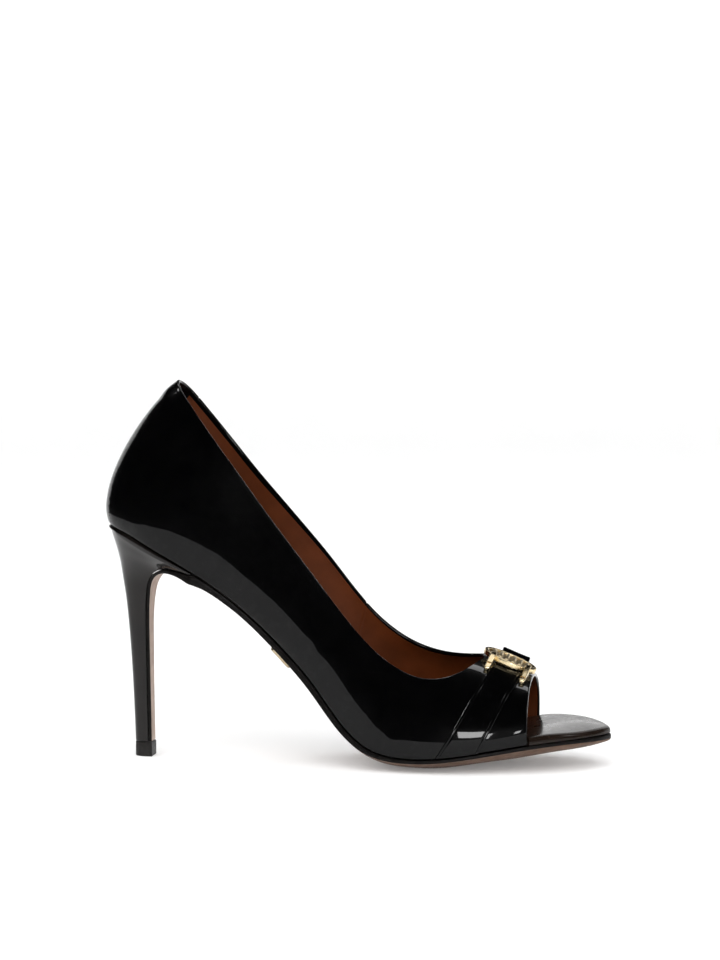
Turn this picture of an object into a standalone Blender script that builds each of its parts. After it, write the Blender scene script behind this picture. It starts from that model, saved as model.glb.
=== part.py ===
"""Open-toe stiletto pump for a right foot, built from section tables.

Tables are in millimetres in the shoe's own frame: x from the back of the heel to the toe,
y towards the inner side of the foot, z up from the floor. Objects are made in metres.
"""
import math
from collections import namedtuple

import bmesh
import bpy
import numpy as np

# Sizes in millimetres
MM = 0.001
GAP = 0.3
WALL = 1.6
FIT_GAP = 0.45
TOE_CUT_X = 188.2
TOE_CUT_RIDGE_X = 187.6
TOE_CUT_MED_X = 187.0
THROAT_X = 166.5
RIDGE_SIDE = 5.0
RIDGE_FROM_X = 107.0
RIDGE_TO_X = 135.0
SOLE_INSET = 0.2
INSOLE_TOE_INSET = 0.5
INSOLE_EDGE_ROUND = 1.3
INSOLE_STEP = 0.9
INSOLE_END_ROUND = 0.3
SOLE_DOME_POWER = 2.4
STRAP_THICK = 1.1
STRAP_END = 0.03
STRAP_SKIVE = 0.2
STRAP_FOOT = 0.5
FOLD_TALL = 4.4
FOLD_FROM = 0.95
FOLD_FULL = 0.92
FOLD_TO = 0.78
FOLD_STEP = 0.005
STEP_BACK_X = 42.6
SEAT_FRONT_X = 41.4
TIP_TOP = 6.4
TIP_ROUND = 0.8

# Buckle sizes in millimetres
RING_X = 176.3
RING_SHARE = 0.93
RING_LONG = 12.0
RING_WIDE = 7.6
RING_BAND = 1.6
RING_BEVEL = 0.4
RING_LIFT = 1.7
RING_TALL = 2.6
BAR_FLAT = 0.03
PLAQUE_GAP = 0.8
PLAQUE_LIFT = 2.1
PLAQUE_TALL = 1.7
PLAQUE_RIBS = 6
RIB_TALL = 0.9

# Plaque places as shares of its half length
PLAQUE_END = 0.985
RIB_SPREAD = 0.78
RIB_FOOT = 0.09
RIB_HEAD = 0.05

# Plate under the arch in millimetres
PLATE_FROM_X = 77.6
PLATE_TO_X = 86.0
PLATE_HALF = 12.0
PLATE_THICK = 1.6

# Mesh counts
VAMP_COLS = 5
COLLAR_COLS = 36
WALL_ROWS = 9
SOLE_ACROSS = 8
INSOLE_ACROSS = 8
HEEL_HALF = 10
STRAP_ROWS = 14
STRAP_ACROSS = 4
RING_STEPS = 40
BAR_ROWS = 8
BAR_ACROSS = 2
SOLE_ROWS = 40
INSOLE_BACK_ROWS = 34
INSOLE_TOE_ROWS = 16
PLATE_ROWS = 7
PLATE_ACROSS = 6

# Row spacing: above one is closer together at the end
SOLE_TOE_BUNCH = 1.25
INSOLE_HEEL_BUNCH = 1.15
INSOLE_TOE_BUNCH = 1.3

# Bottom edge of the last: place, height, lean of the section plane, half widths
Bottom = namedtuple("Bottom", "x z lean lat med")
BOTTOM = [
    Bottom(0.8, 102.6, 26.0, 0.0, 0.0),
    Bottom(4.3, 101.3, 26.2, 9.3, 9.3),
    Bottom(12.0, 98.6, 26.5, 15.6, 15.5),
    Bottom(20.5, 94.4, 27.3, 20.1, 19.9),
    Bottom(30.0, 89.4, 29.0, 22.5, 22.0),
    Bottom(43.0, 82.0, 31.5, 22.7, 21.3),
    Bottom(54.0, 74.6, 35.5, 21.4, 19.2),
    Bottom(68.0, 62.9, 40.5, 20.0, 16.8),
    Bottom(82.0, 49.4, 42.5, 20.6, 16.4),
    Bottom(95.0, 35.3, 40.5, 23.6, 18.6),
    Bottom(107.0, 20.1, 31.5, 27.8, 23.2),
    Bottom(120.0, 9.6, 19.0, 32.0, 28.8),
    Bottom(135.0, 6.3, 8.0, 35.1, 33.4),
    Bottom(150.0, 6.6, 2.0, 35.9, 35.7),
    Bottom(165.0, 8.6, 0.0, 34.2, 35.3),
    Bottom(180.0, 11.0, 0.0, 30.8, 32.9),
    Bottom(188.2, 12.3, 0.0, 28.4, 31.0),
    Bottom(196.0, 13.3, 0.0, 25.2, 28.2),
    Bottom(204.0, 13.9, 0.0, 20.6, 24.3),
    Bottom(212.0, 14.3, 0.0, 13.4, 17.9),
    Bottom(217.5, 14.5, 0.0, 6.6, 11.5),
    Bottom(220.4, 14.5, 0.0, 0.6, 6.0),
    Bottom(221.2, 14.5, 0.0, -2.8, 2.8),
]

# Sections of the last above that edge: heights up the plane, then half widths of each side
Section = namedtuple(
    "Section",
    "bow belly_up crown_up top_up lat_belly lat_crown lat_top med_belly med_crown med_top")
SECTIONS = [
    Section(1.00, 9.0, 46.0, 72.0, 0.0, 0.0, 0.0, 0.0, 0.0, 0.0),
    Section(0.90, 9.0, 46.0, 72.0, 10.8, 10.8, 8.8, 10.8, 10.8, 8.8),
    Section(0.72, 9.7, 46.0, 71.0, 18.3, 17.8, 14.6, 18.1, 17.5, 14.5),
    Section(0.48, 12.4, 43.6, 68.0, 24.6, 23.7, 18.2, 24.1, 21.8, 18.0),
    Section(0.22, 14.0, 41.6, 64.0, 26.4, 25.9, 19.6, 26.8, 23.5, 19.4),
    Section(0.05, 10.5, 37.3, 58.0, 26.4, 24.1, 20.6, 25.8, 23.8, 20.2),
    Section(0.00, 7.4, 32.8, 54.0, 26.0, 22.9, 20.8, 22.8, 24.0, 20.0),
    Section(0.00, 5.7, 30.7, 52.0, 26.2, 23.7, 20.4, 20.3, 25.0, 19.4),
    Section(0.00, 7.6, 31.2, 52.0, 27.4, 26.4, 17.0, 20.7, 26.6, 16.0),
    Section(0.00, 12.0, 35.1, 54.0, 29.7, 30.8, 10.0, 24.5, 28.6, 9.5),
    Section(0.00, 15.1, 40.6, 55.0, 31.6, 35.0, 3.0, 28.4, 33.5, 4.0),
    Section(0.00, 14.8, 44.6, 53.0, 33.2, 37.0, -2.0, 32.4, 37.4, 4.0),
    Section(0.00, 15.5, 46.0, 48.5, 36.4, 33.7, -5.0, 36.0, 36.6, 5.0),
    Section(0.00, 18.2, 43.4, 43.4, 38.0, 28.6, -5.0, 37.8, 33.4, 5.0),
    Section(0.00, 16.4, 38.6, 38.6, 36.3, 24.3, -5.0, 37.2, 30.2, 5.0),
    Section(0.00, 15.0, 30.3, 30.3, 32.9, 23.2, -5.0, 34.8, 27.6, 5.0),
    Section(0.00, 14.5, 26.2, 26.2, 30.4, 23.5, -5.0, 33.0, 27.0, 5.0),
]

# Forward offset of the back seam at foot, belly, crown and top of the profile
BACK_BOW = (0.0, -11.8, -10.8, 1.0)

# Topline of each side seen from the side
Topline = namedtuple("Topline", "x lat med")
TOPLINE = [
    Topline(28.0, 170.5, 170.5),
    Topline(32.3, 165.0, 165.0),
    Topline(40.0, 155.6, 154.2),
    Topline(52.0, 140.4, 138.4),
    Topline(63.0, 125.7, 124.6),
    Topline(74.0, 110.5, 112.0),
    Topline(84.5, 96.6, 100.0),
    Topline(95.0, 83.2, 87.6),
    Topline(105.5, 69.8, 74.4),
    Topline(116.0, 57.8, 62.6),
    Topline(126.0, 48.6, 54.4),
    Topline(134.0, 43.4, 49.8),
    Topline(141.0, 40.8, 47.2),
    Topline(147.0, 40.2, 46.0),
    Topline(153.0, 40.9, 45.6),
    Topline(159.0, 43.0, 45.8),
    Topline(164.0, 45.6, 46.4),
    Topline(166.5, 46.9, 46.9),
    Topline(170.0, 48.8, 48.8),
]

# Outsole below the last: edge and middle thickness along the section plane
Sole = namedtuple("Sole", "x edge depth")
SOLE = [
    Sole(42.0, 4.5, 5.2),
    Sole(48.0, 3.0, 3.7),
    Sole(54.0, 2.6, 3.3),
    Sole(63.0, 2.3, 3.0),
    Sole(73.0, 2.4, 3.2),
    Sole(86.0, 2.6, 3.7),
    Sole(98.0, 2.6, 4.3),
    Sole(110.0, 2.4, 5.0),
    Sole(117.0, 2.2, 5.6),
    Sole(125.0, 1.9, 6.4),
    Sole(135.0, 1.6, 6.6),
    Sole(150.0, 1.5, 7.1),
    Sole(165.0, 1.5, 7.0),
    Sole(180.0, 1.5, 7.3),
    Sole(190.0, 1.6, 7.1),
    Sole(203.0, 1.8, 6.2),
    Sole(215.0, 2.4, 4.6),
    Sole(221.2, 2.9, 2.9),
]

# Heel breast from the waist to the tip: inner face of the sole flap there, then the heel ring behind it
Breast = namedtuple("Breast", "x z lean flap back_x back_z half seat")
BREAST = [
    Breast(40.76, 80.83, 22.0, 2.3, 1.4, 100.5, 21.6, 0.97),
    Breast(34.75, 82.95, 13.0, 2.0, 2.2, 97.9, 19.6, 0.86),
    Breast(29.66, 83.8, 2.0, 1.7, 3.3, 94.4, 17.1, 0.7),
    Breast(25.14, 83.03, -18.0, 1.5, 4.5, 90.2, 14.0, 0.5),
    Breast(21.66, 80.64, -42.0, 1.4, 5.6, 85.3, 11.0, 0.3),
    Breast(19.53, 77.09, -65.0, 1.4, 6.4, 79.8, 8.4, 0.15),
    Breast(18.47, 72.2, -81.0, 1.4, 7.45, 73.0, 6.8, 0.05),
    Breast(17.95, 66.6, -87.0, 1.4, 8.25, 66.6, 5.8, 0.0),
    Breast(17.75, 54.0, -90.0, 1.4, 9.4, 54.0, 5.0, 0.0),
    Breast(17.9, 37.0, -91.0, 1.4, 10.5, 37.0, 4.5, 0.0),
    Breast(18.1, 22.0, -91.0, 1.4, 11.2, 22.0, 4.2, 0.0),
    Breast(18.3, 6.8, -91.0, 1.4, 11.75, 6.8, 4.2, 0.0),
]

# Insole thickness up the section plane
Insole = namedtuple("Insole", "x tall")
INSOLE = [
    Insole(1.0, 2.6),
    Insole(60.0, 2.6),
    Insole(120.0, 3.0),
    Insole(150.0, 3.0),
    Insole(175.0, 3.6),
    Insole(190.0, 4.5),
    Insole(204.0, 4.1),
    Insole(221.2, 3.0),
]

# Strap edges along the shoe against height share on the wall
Strap = namedtuple("Strap", "share back front")
STRAP = [
    Strap(0.0, 149.1, 167.5),
    Strap(0.25, 158.0, 174.0),
    Strap(0.5, 165.2, 179.2),
    Strap(0.75, 170.0, 182.5),
    Strap(1.0, 171.6, 183.4),
]

# Buckle bars: strap edge they follow, sides from that edge, heights over the wall, shares of foot and head
Bar = namedtuple("Bar", "edge near far low high over end top")
BARS = {
    "bar_back": Bar("back", -GAP - 2.0, -GAP, GAP, 2.2, 5.5, 0.72, 0.872),
    "bar_front": Bar("front", GAP, GAP + 2.0, GAP, 2.2, 4.8, 0.68, 0.886),
}

# Outline of the heel tip: height, back, front, half width
Tip = namedtuple("Tip", "z back front half")
TIP = [
    Tip(0.0, 12.0, 19.65, 4.2),
    Tip(0.4, 11.75, 19.9, 4.45),
    Tip(5.9, 11.75, 19.9, 4.45),
    Tip(TIP_TOP, 11.95, 19.65, 4.2),
]

Material = namedtuple("Material", "name color roughness metallic")
PATENT = Material("patent_black", (0.012, 0.012, 0.013), 0.08, 0.0)
LEATHER_SOLE = Material("sole_leather", (0.12, 0.065, 0.035), 0.55, 0.0)
INSOLE_COVER = Material("insole_patent", (0.02, 0.017, 0.015), 0.15, 0.0)
HEEL_COVER = Material("heel_cover", (0.035, 0.03, 0.028), 0.35, 0.0)
TIP_RUBBER = Material("tip_rubber", (0.03, 0.028, 0.026), 0.6, 0.0)
STRAP_PATENT = Material("strap_patent", (0.012, 0.012, 0.013), 0.08, 0.0)
GOLD = Material("gold_metal", (0.75, 0.53, 0.25), 0.2, 1.0)
GOLD_PLAQUE = Material("gold_plaque", (0.75, 0.53, 0.25), 0.25, 1.0)
GOLD_PLATE = Material("gold_plate", (0.75, 0.6, 0.38), 0.25, 1.0)


def spline(knots, values, at, loop=False):
    """Cubic spline through values at knots; natural ends, or a loop whose last knot is the first."""
    t = np.asarray(knots, float)
    y = np.asarray(values, float)
    n = len(t)
    h = np.diff(t)
    slope = np.diff(y) / h
    matrix = np.zeros((n, n))
    right = np.zeros(n)
    for i in range(1, n - 1):
        matrix[i, i - 1:i + 2] = h[i - 1], 2.0 * (h[i - 1] + h[i]), h[i]
        right[i] = 6.0 * (slope[i] - slope[i - 1])
    if loop:
        matrix[0, 0] = 1.0
        matrix[0, n - 1] = -1.0
        matrix[n - 1, 0] = 2.0 * (h[0] + h[-1])
        matrix[n - 1, 1] = h[0]
        matrix[n - 1, n - 2] = h[-1]
        right[n - 1] = 6.0 * (slope[0] - slope[-1])
    else:
        matrix[0, 0] = 1.0
        matrix[n - 1, n - 1] = 1.0
    bend = np.linalg.solve(matrix, right)
    at = np.asarray(at, float)
    k = np.clip(np.searchsorted(t, at, side="right") - 1, 0, n - 2)
    a = (t[k + 1] - at) / h[k]
    b = (at - t[k]) / h[k]
    cubic = ((a ** 3 - a) * bend[k] + (b ** 3 - b) * bend[k + 1]) * h[k] ** 2 / 6.0
    return a * y[k] + b * y[k + 1] + cubic


def column(rows, name):
    """One named column of a table."""
    return np.array([getattr(row, name) for row in rows])


def edge_knots():
    """Distance along the bottom edge at each row, the same for both sides."""
    x = column(BOTTOM, "x")
    z = column(BOTTOM, "z")
    half = 0.5 * (column(BOTTOM, "lat") + column(BOTTOM, "med"))
    step = np.sqrt(np.diff(x) ** 2 + np.diff(z) ** 2 + np.diff(half) ** 2)
    return np.concatenate([[0.0], np.cumsum(step)])


KNOTS = edge_knots()
EDGE_LENGTH = KNOTS[-1]
LOOP = np.concatenate([-KNOTS[::-1], KNOTS[1:]])
FIT = len(SECTIONS)
WALL_KNOTS = np.concatenate([-KNOTS[:FIT][::-1], KNOTS[1:FIT]])


def both_sides(lateral, medial):
    """A column over the whole loop from the outer side round the heel to the inner side."""
    return np.concatenate([lateral[::-1], medial[1:]])


def bottom_at(t):
    """Place, side offset, height and lean of the bottom edge; t below zero is the outer side."""
    same = {name: both_sides(column(BOTTOM, name), column(BOTTOM, name)) for name in "xz"}
    lean = both_sides(column(BOTTOM, "lean"), column(BOTTOM, "lean"))
    side = both_sides(-column(BOTTOM, "lat"), column(BOTTOM, "med"))
    x = spline(LOOP, same["x"], t, loop=True)
    z = spline(LOOP, same["z"], t, loop=True)
    y = spline(LOOP, side, t, loop=True)
    return x, y, z, np.radians(spline(LOOP, lean, t, loop=True))


def section_at(name, t):
    """A column of the section table that is the same on both sides."""
    values = column(SECTIONS, name)
    return spline(WALL_KNOTS, both_sides(values, values), t)


def width_at(name, t):
    """A half-width column, signed by side."""
    lateral = -column(SECTIONS, "lat_" + name)
    medial = column(SECTIONS, "med_" + name)
    return spline(WALL_KNOTS, both_sides(lateral, medial), t)


def top_at(t):
    """Half width at the head of the profile, closed to the ridge ahead of the instep."""
    open_t = t_of_x(RIDGE_FROM_X)
    closed_t = t_of_x(RIDGE_TO_X)
    fade = np.clip((closed_t - np.abs(t)) / (closed_t - open_t), 0.0, 1.0)
    fade = fade * fade * (3.0 - 2.0 * fade)
    return width_at("top", t) * fade + RIDGE_SIDE * (1.0 - fade)


def last_point(t, b):
    """Point of the last at edge distance t and profile share b, both arrays of one shape."""
    t = np.asarray(t, float)
    b = np.asarray(b, float)
    x, foot, z, lean = bottom_at(t)
    weights = ((1 - b) ** 3, 3 * (1 - b) ** 2 * b, 3 * (1 - b) * b ** 2, b ** 3)
    sides = (foot, width_at("belly", t), width_at("crown", t), top_at(t))
    zero = np.zeros_like(t)
    ups = (zero, section_at("belly_up", t), section_at("crown_up", t), section_at("top_up", t))
    bow = section_at("bow", t)
    y = sum(w * s for w, s in zip(weights, sides))
    up = sum(w * u for w, u in zip(weights, ups))
    fore = sum(w * o for w, o in zip(weights, BACK_BOW)) * bow
    px = x + up * np.sin(lean) + fore * np.cos(lean)
    pz = z + up * np.cos(lean) - fore * np.sin(lean)
    return np.stack([px, y, pz], axis=-1)


def last_normal(t, b):
    """Outward direction of the last."""
    dt = 0.05
    db = 0.002
    b = np.clip(b, db, 1 - db)
    along = last_point(t + dt, b) - last_point(t - dt, b)
    rise = last_point(t, b + db) - last_point(t, b - db)
    normal = np.cross(rise, along)
    return normal / np.linalg.norm(normal, axis=-1, keepdims=True)


def t_of_x(x):
    """Edge distance on the inner side at a place along the shoe; the outer side is minus this."""
    fine = np.linspace(0.0, EDGE_LENGTH, 1200)
    return np.interp(x, bottom_at(fine)[0], fine)


def topline_height(side, x):
    """Height of the topline seen from the side."""
    return spline(column(TOPLINE, "x"), column(TOPLINE, side), x)


def topline_samples(side):
    """Edge distance, profile share and place of the topline from the throat to the back seam."""
    sign = -1.0 if side == "lat" else 1.0
    throat = t_of_x(THROAT_X)
    t = sign * throat * (1.0 - np.linspace(0.0, 1.0, 500) ** 2)
    share = np.linspace(0.0, 1.0, 401)
    points = last_point(*np.meshgrid(t, share, indexing="ij"))
    over = points[..., 2] - topline_height(side, points[..., 0])
    found = np.empty(len(t))
    for i, line in enumerate(over):
        above = np.nonzero(line >= 0.0)[0]
        k = above[0] if len(above) else len(share) - 1
        k = max(k, 1)
        part = line[k - 1] / (line[k - 1] - line[k]) if line[k] > 0.0 else 1.0
        found[i] = share[k - 1] + part * (share[k] - share[k - 1])
    found[0] = 1.0
    place = last_point(t, found)
    return t, found, place


def even_spread(place, count):
    """Sample index positions that split a line of points into equal lengths."""
    step = np.linalg.norm(np.diff(place, axis=0), axis=1)
    run = np.concatenate([[0.0], np.cumsum(step)])
    return np.interp(np.linspace(0.0, run[-1], count + 1), run, np.arange(len(run)))


def side_columns(side):
    """Start and end of each mesh column of one side, from the toe cut to the back seam."""
    sign = -1.0 if side == "lat" else 1.0
    cut = sign * t_of_x(TOE_CUT_X if side == "lat" else TOE_CUT_MED_X)
    throat = sign * t_of_x(THROAT_X)
    front = np.linspace(cut, throat, VAMP_COLS + 1)
    ridge = np.linspace(sign * t_of_x(TOE_CUT_RIDGE_X), throat, VAMP_COLS + 1)
    top_t, top_b, place = topline_samples(side)
    index = even_spread(place, COLLAR_COLS)
    order = np.arange(len(top_t))
    back_top_t = np.interp(index, order, top_t)
    back_top_b = np.interp(index, order, top_b)
    back_foot = np.linspace(throat, 0.0, COLLAR_COLS + 1)
    foot = np.concatenate([front, back_foot[1:]])
    head = np.concatenate([ridge, back_top_t[1:]])
    share = np.concatenate([np.ones(VAMP_COLS + 1), back_top_b[1:]])
    return foot, head, share


def wall_grid():
    """Edge distance and profile share over the whole upper, columns from toe cut to toe cut."""
    outer = side_columns("lat")
    inner = side_columns("med")
    foot, head, share = (np.concatenate([a, b[::-1][1:]]) for a, b in zip(outer, inner))
    v = np.linspace(0.0, 1.0, WALL_ROWS + 1)[None, :]
    t = foot[:, None] + (head - foot)[:, None] * v
    return t, share[:, None] * v


def level_inward(normal):
    """The inward direction laid level, for the foot of the wall."""
    flat = -normal * np.array([1.0, 1.0, 0.0])
    return flat / np.linalg.norm(flat, axis=-1, keepdims=True)


def upper_mesh():
    """One hollow wall: outer face, inner face and the rims that join them."""
    t, b = wall_grid()
    outer = last_point(t, b)
    normal = last_normal(t, b)
    inner = outer - WALL * normal
    inner[:, 0] = outer[:, 0] + WALL * level_inward(normal[:, 0])
    cols, rows = t.shape
    inner[cols - 1 - VAMP_COLS:, -1] = inner[VAMP_COLS::-1, -1]
    points = np.concatenate([outer.reshape(-1, 3), inner.reshape(-1, 3)])
    base = cols * rows
    faces = []
    for c in range(cols - 1):
        for r in range(rows - 1):
            a = c * rows + r
            d = (c + 1) * rows + r
            faces.append((a, d, d + 1, a + 1))
            faces.append((base + a, base + a + 1, base + d + 1, base + d))
        low = c * rows
        faces.append((low, base + low, base + low + rows, low + rows))
        high = low + rows - 1
        if VAMP_COLS <= c < cols - 1 - VAMP_COLS:
            faces.append((high, high + rows, base + high + rows, base + high))
    for r in range(rows - 1):
        faces.append((r, r + 1, base + r + 1, base + r))
        end = (cols - 1) * rows + r
        faces.append((end, base + end, base + end + 1, end + 1))
    return points, faces


def outline_at(t, inset):
    """Both edges of the bottom outline moved inwards in plan."""
    found = []
    for sign in (-1.0, 1.0):
        s = sign * np.asarray(t, float)
        x, y, z, _ = bottom_at(s)
        ahead = bottom_at(np.clip(s + 0.05, -EDGE_LENGTH, EDGE_LENGTH))
        behind = bottom_at(np.clip(s - 0.05, -EDGE_LENGTH, EDGE_LENGTH))
        along = np.stack([ahead[0] - behind[0], ahead[1] - behind[1]], axis=-1)
        along /= np.linalg.norm(along, axis=-1, keepdims=True)
        found.append(np.stack([x + inset * along[..., 1], y - inset * along[..., 0], z], axis=-1))
    tip = np.asarray(t) >= EDGE_LENGTH - 1e-6
    middle = 0.5 * (found[0] + found[1])
    found[0][tip] = middle[tip]
    found[1][tip] = middle[tip]
    return found


def ring_faces(count, size):
    """Side faces and end caps of a stack of rings with the same number of points."""
    faces = []
    for i in range(count - 1):
        for j in range(size):
            k = (j + 1) % size
            faces.append((i * size + j, i * size + k, (i + 1) * size + k, (i + 1) * size + j))
    faces.append(tuple(reversed(range(size))))
    faces.append(tuple((count - 1) * size + j for j in range(size)))
    return faces


def up_of(lean):
    """Up direction of a section plane."""
    lean = np.asarray(lean, float)
    return np.stack([np.sin(lean), np.zeros_like(lean), np.cos(lean)], axis=-1)


def sole_rows():
    """Edges, lean, edge thickness and middle thickness of the outsole from flap to toe."""
    flap = BREAST[::-1]
    lean = [math.radians(row.lean) for row in flap]
    lat = [np.array([row.x, SOLE_INSET - row.half, row.z]) for row in flap]
    med = [np.array([row.x, row.half - SOLE_INSET, row.z]) for row in flap]
    edge = [row.flap for row in flap]
    depth = [row.flap for row in flap]
    start = t_of_x(STEP_BACK_X)
    run = np.linspace(0.0, 1.0, SOLE_ROWS)
    t = start + (EDGE_LENGTH - start) * (1.0 - (1.0 - run) ** SOLE_TOE_BUNCH)
    x, _, _, lean_t = bottom_at(t)
    left, right = outline_at(t, SOLE_INSET)
    up = up_of(lean_t)
    edge_t = spline(column(SOLE, "x"), column(SOLE, "edge"), x)
    depth_t = spline(column(SOLE, "x"), column(SOLE, "depth"), x)
    lat += list(left - GAP * up)
    med += list(right - GAP * up)
    return lat, med, lean + list(lean_t), edge + list(edge_t), depth + list(depth_t)


def outsole_mesh():
    """Sole from the foot of the heel flap to the toe, domed across and flat where it stands."""
    points = []
    share = np.linspace(0.0, 1.0, SOLE_ACROSS + 1)
    dome = 1.0 - np.abs(2.0 * share - 1.0) ** SOLE_DOME_POWER
    for lat, med, lean, edge, depth in zip(*sole_rows()):
        up = up_of(lean)
        across = lat + (med - lat) * share[:, None]
        below = across - up * (edge + (depth - edge) * dome)[:, None]
        below[:, 2] = np.maximum(below[:, 2], 0.0)
        points += list(across) + list(below[::-1])
    size = 2 * (SOLE_ACROSS + 1)
    return np.array(points), ring_faces(len(points) // size, size)


def insole_rows():
    """Places of the insole's cross rows, close together at both ends and at the toe cut."""
    cut = t_of_x(TOE_CUT_X + GAP)
    wide = t_of_x(TOE_CUT_X + INSOLE_STEP)
    back = cut * np.linspace(0.0, 1.0, INSOLE_BACK_ROWS) ** INSOLE_HEEL_BUNCH
    run = np.linspace(0.0, 1.0, INSOLE_TOE_ROWS)
    toe = wide + (EDGE_LENGTH - wide) * (1.0 - (1.0 - run) ** INSOLE_TOE_BUNCH)
    inset = np.concatenate([np.full(len(back), WALL + FIT_GAP), np.full(len(toe), INSOLE_TOE_INSET)])
    return np.concatenate([back, toe]), inset


def insole_mesh():
    """Footbed inside the wall, with rounded upper edges, out to the toe."""
    t, inset = insole_rows()
    left, right = outline_at(t, inset)
    heel = np.asarray(t) <= 1e-6
    middle = 0.5 * (left + right)
    left[heel] = middle[heel]
    right[heel] = middle[heel]
    x, _, _, lean = bottom_at(t)
    tall = spline(column(INSOLE, "x"), column(INSOLE, "tall"), x)
    points = []
    for lat, med, angle, high in zip(left, right, lean, tall):
        up = up_of(angle)
        wide = np.linalg.norm(med - lat)
        rim = min(INSOLE_EDGE_ROUND, INSOLE_END_ROUND * wide)
        near = rim * np.array([0.0, INSOLE_END_ROUND, 1.0])
        inside = np.linspace(rim, wide - rim, INSOLE_ACROSS - 4)[1:-1]
        run = np.concatenate([near, inside, wide - near[::-1]])
        from_edge = np.minimum(np.minimum(run, wide - run), INSOLE_EDGE_ROUND)
        drop = INSOLE_EDGE_ROUND - from_edge
        round_up = INSOLE_EDGE_ROUND - np.sqrt(np.maximum(INSOLE_EDGE_ROUND ** 2 - drop ** 2, 0.0))
        share = run / wide if wide > 1e-6 else run
        top = lat + (med - lat) * share[:, None] + up * (high - round_up)[:, None]
        points += [lat, med] + list(top[::-1])
    size = 2 + INSOLE_ACROSS
    return np.array(points), ring_faces(len(points) // size, size)


def heel_ring(row, angle, seat_side):
    """One side of a heel ring from the back to the front corner."""
    run = 1.0 - np.cos(angle)
    round_side = row.half * np.sin(angle)
    seat = row.half * seat_side / max(seat_side)
    y = (1.0 - row.seat) * round_side + row.seat * seat
    front = np.array([row.x, 0.0, row.z]) + GAP * up_of(math.radians(row.lean))
    x = row.back_x + (front[0] - row.back_x) * run
    z = row.back_z + (front[2] - row.back_z) * run
    return np.stack([x, y, z], axis=-1)


def heel_mesh():
    """Slim heel: a stack of rings that open into the cup under the heel seat."""
    angle = np.linspace(0.0, 0.5 * math.pi, HEEL_HALF + 1)
    start = BOTTOM[0].x
    seat_x = start + (SEAT_FRONT_X - start) * (1.0 - np.cos(angle))
    seat_t = t_of_x(seat_x)
    sides = outline_at(seat_t, SOLE_INSET)
    up = up_of(bottom_at(seat_t)[3])
    points = []
    for row in BREAST[::-1]:
        lat = heel_ring(row, angle, np.abs(sides[0][:, 1]))
        med = heel_ring(row, angle, np.abs(sides[1][:, 1]))
        lat[:, 1] *= -1.0
        points += list(lat) + list(med[:0:-1])
    lat = sides[0] - GAP * up
    med = sides[1] - GAP * up
    points += list(lat) + list(med[:0:-1])
    size = 2 * HEEL_HALF + 1
    faces = ring_faces(len(BREAST) + 1, size)
    return np.array(points), faces[:-1] + seat_faces(len(BREAST) * size, size)


def seat_faces(base, size):
    """Top of the heel as strips between the two sides."""
    faces = [(base, base + 1, base + size - 1)]
    for j in range(1, HEEL_HALF):
        faces.append((base + j, base + j + 1, base + size - j - 1, base + size - j))
    return faces


def tip_mesh():
    """Wear piece under the heel, round at the back and flat at the front."""
    angle = np.linspace(-0.5 * math.pi, 0.5 * math.pi, 2 * HEEL_HALF + 1)
    points = []
    for row in TIP:
        x = row.back + (row.front - row.back) * (1.0 - np.cos(angle) ** TIP_ROUND)
        y = row.half * np.sin(angle)
        points += list(np.stack([x, y, np.full_like(x, row.z)], axis=-1))
    size = len(angle)
    return np.array(points), ring_faces(len(TIP), size)


def wall_share(rows, first, extra=()):
    """Profile shares from the outer foot over the ridge to the inner foot, with side signs."""
    rise = np.linspace(first, 1.0, rows + 1)
    fall = np.sort(np.concatenate([rise[:-1], extra]))[::-1]
    share = np.concatenate([rise, fall])
    sign = np.concatenate([-np.ones(len(rise)), np.ones(len(fall))])
    return share, sign


def strap_edge(name, share):
    """Place along the shoe of a strap edge at a profile share."""
    return spline(column(STRAP, "share"), column(STRAP, name), share)


def laid_band(share, sign, back, front, across, low, high):
    """Band on the upper between two edges, from one height over the wall to another."""
    mix = np.linspace(0.0, 1.0, across + 1)
    place = back[:, None] + (front - back)[:, None] * mix[None, :]
    t = sign[:, None] * t_of_x(place)
    b = np.broadcast_to(share[:, None], t.shape)
    skin = last_point(t, b)
    normal = last_normal(t, b)
    lower = skin + low * normal
    upper = skin + np.reshape(high, (-1, 1, 1)) * normal
    points = []
    for i in range(len(share)):
        points += list(upper[i]) + list(lower[i][::-1])
    size = 2 * (across + 1)
    return np.array(points), ring_faces(len(share), size)


def fold_rise(share, sign):
    """Extra height where the inner side of the strap climbs to the far rim of the ring."""
    slope = np.clip((share - FOLD_TO) / (FOLD_FULL - FOLD_TO), 0.0, 1.0)
    inside = (sign > 0.0) & (share <= FOLD_FROM)
    return np.where(inside, FOLD_TALL * slope * slope * (3.0 - 2.0 * slope), 0.0)


def strap_mesh():
    """Band over the vamp from one feather edge to the other."""
    steps = (FOLD_FROM + FOLD_STEP, FOLD_FROM, FOLD_FULL, 0.5 * (FOLD_FULL + FOLD_TO), FOLD_TO)
    share, sign = wall_share(STRAP_ROWS, STRAP_END, steps)
    back = strap_edge("back", share)
    front = strap_edge("front", share)
    full = np.clip((share - STRAP_END) / STRAP_SKIVE, 0.0, 1.0)
    high = GAP + STRAP_FOOT + (STRAP_THICK - STRAP_FOOT) * full + fold_rise(share, sign)
    return laid_band(share, sign, back, front, STRAP_ACROSS, GAP, high)


def bar_mesh(bar):
    """Buckle bar along one edge of the strap, climbing over the near rim of the ring."""
    share = np.linspace(bar.end, bar.top, BAR_ROWS + 1)
    sign = -np.ones(len(share))
    edge = strap_edge(bar.edge, share)
    climb = np.clip((share - bar.end) / (bar.top - BAR_FLAT - bar.end), 0.0, 1.0)
    high = bar.high + (bar.over - bar.high) * climb * climb * (3.0 - 2.0 * climb)
    return laid_band(share, sign, edge + bar.near, edge + bar.far, BAR_ACROSS, bar.low, high)


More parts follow.
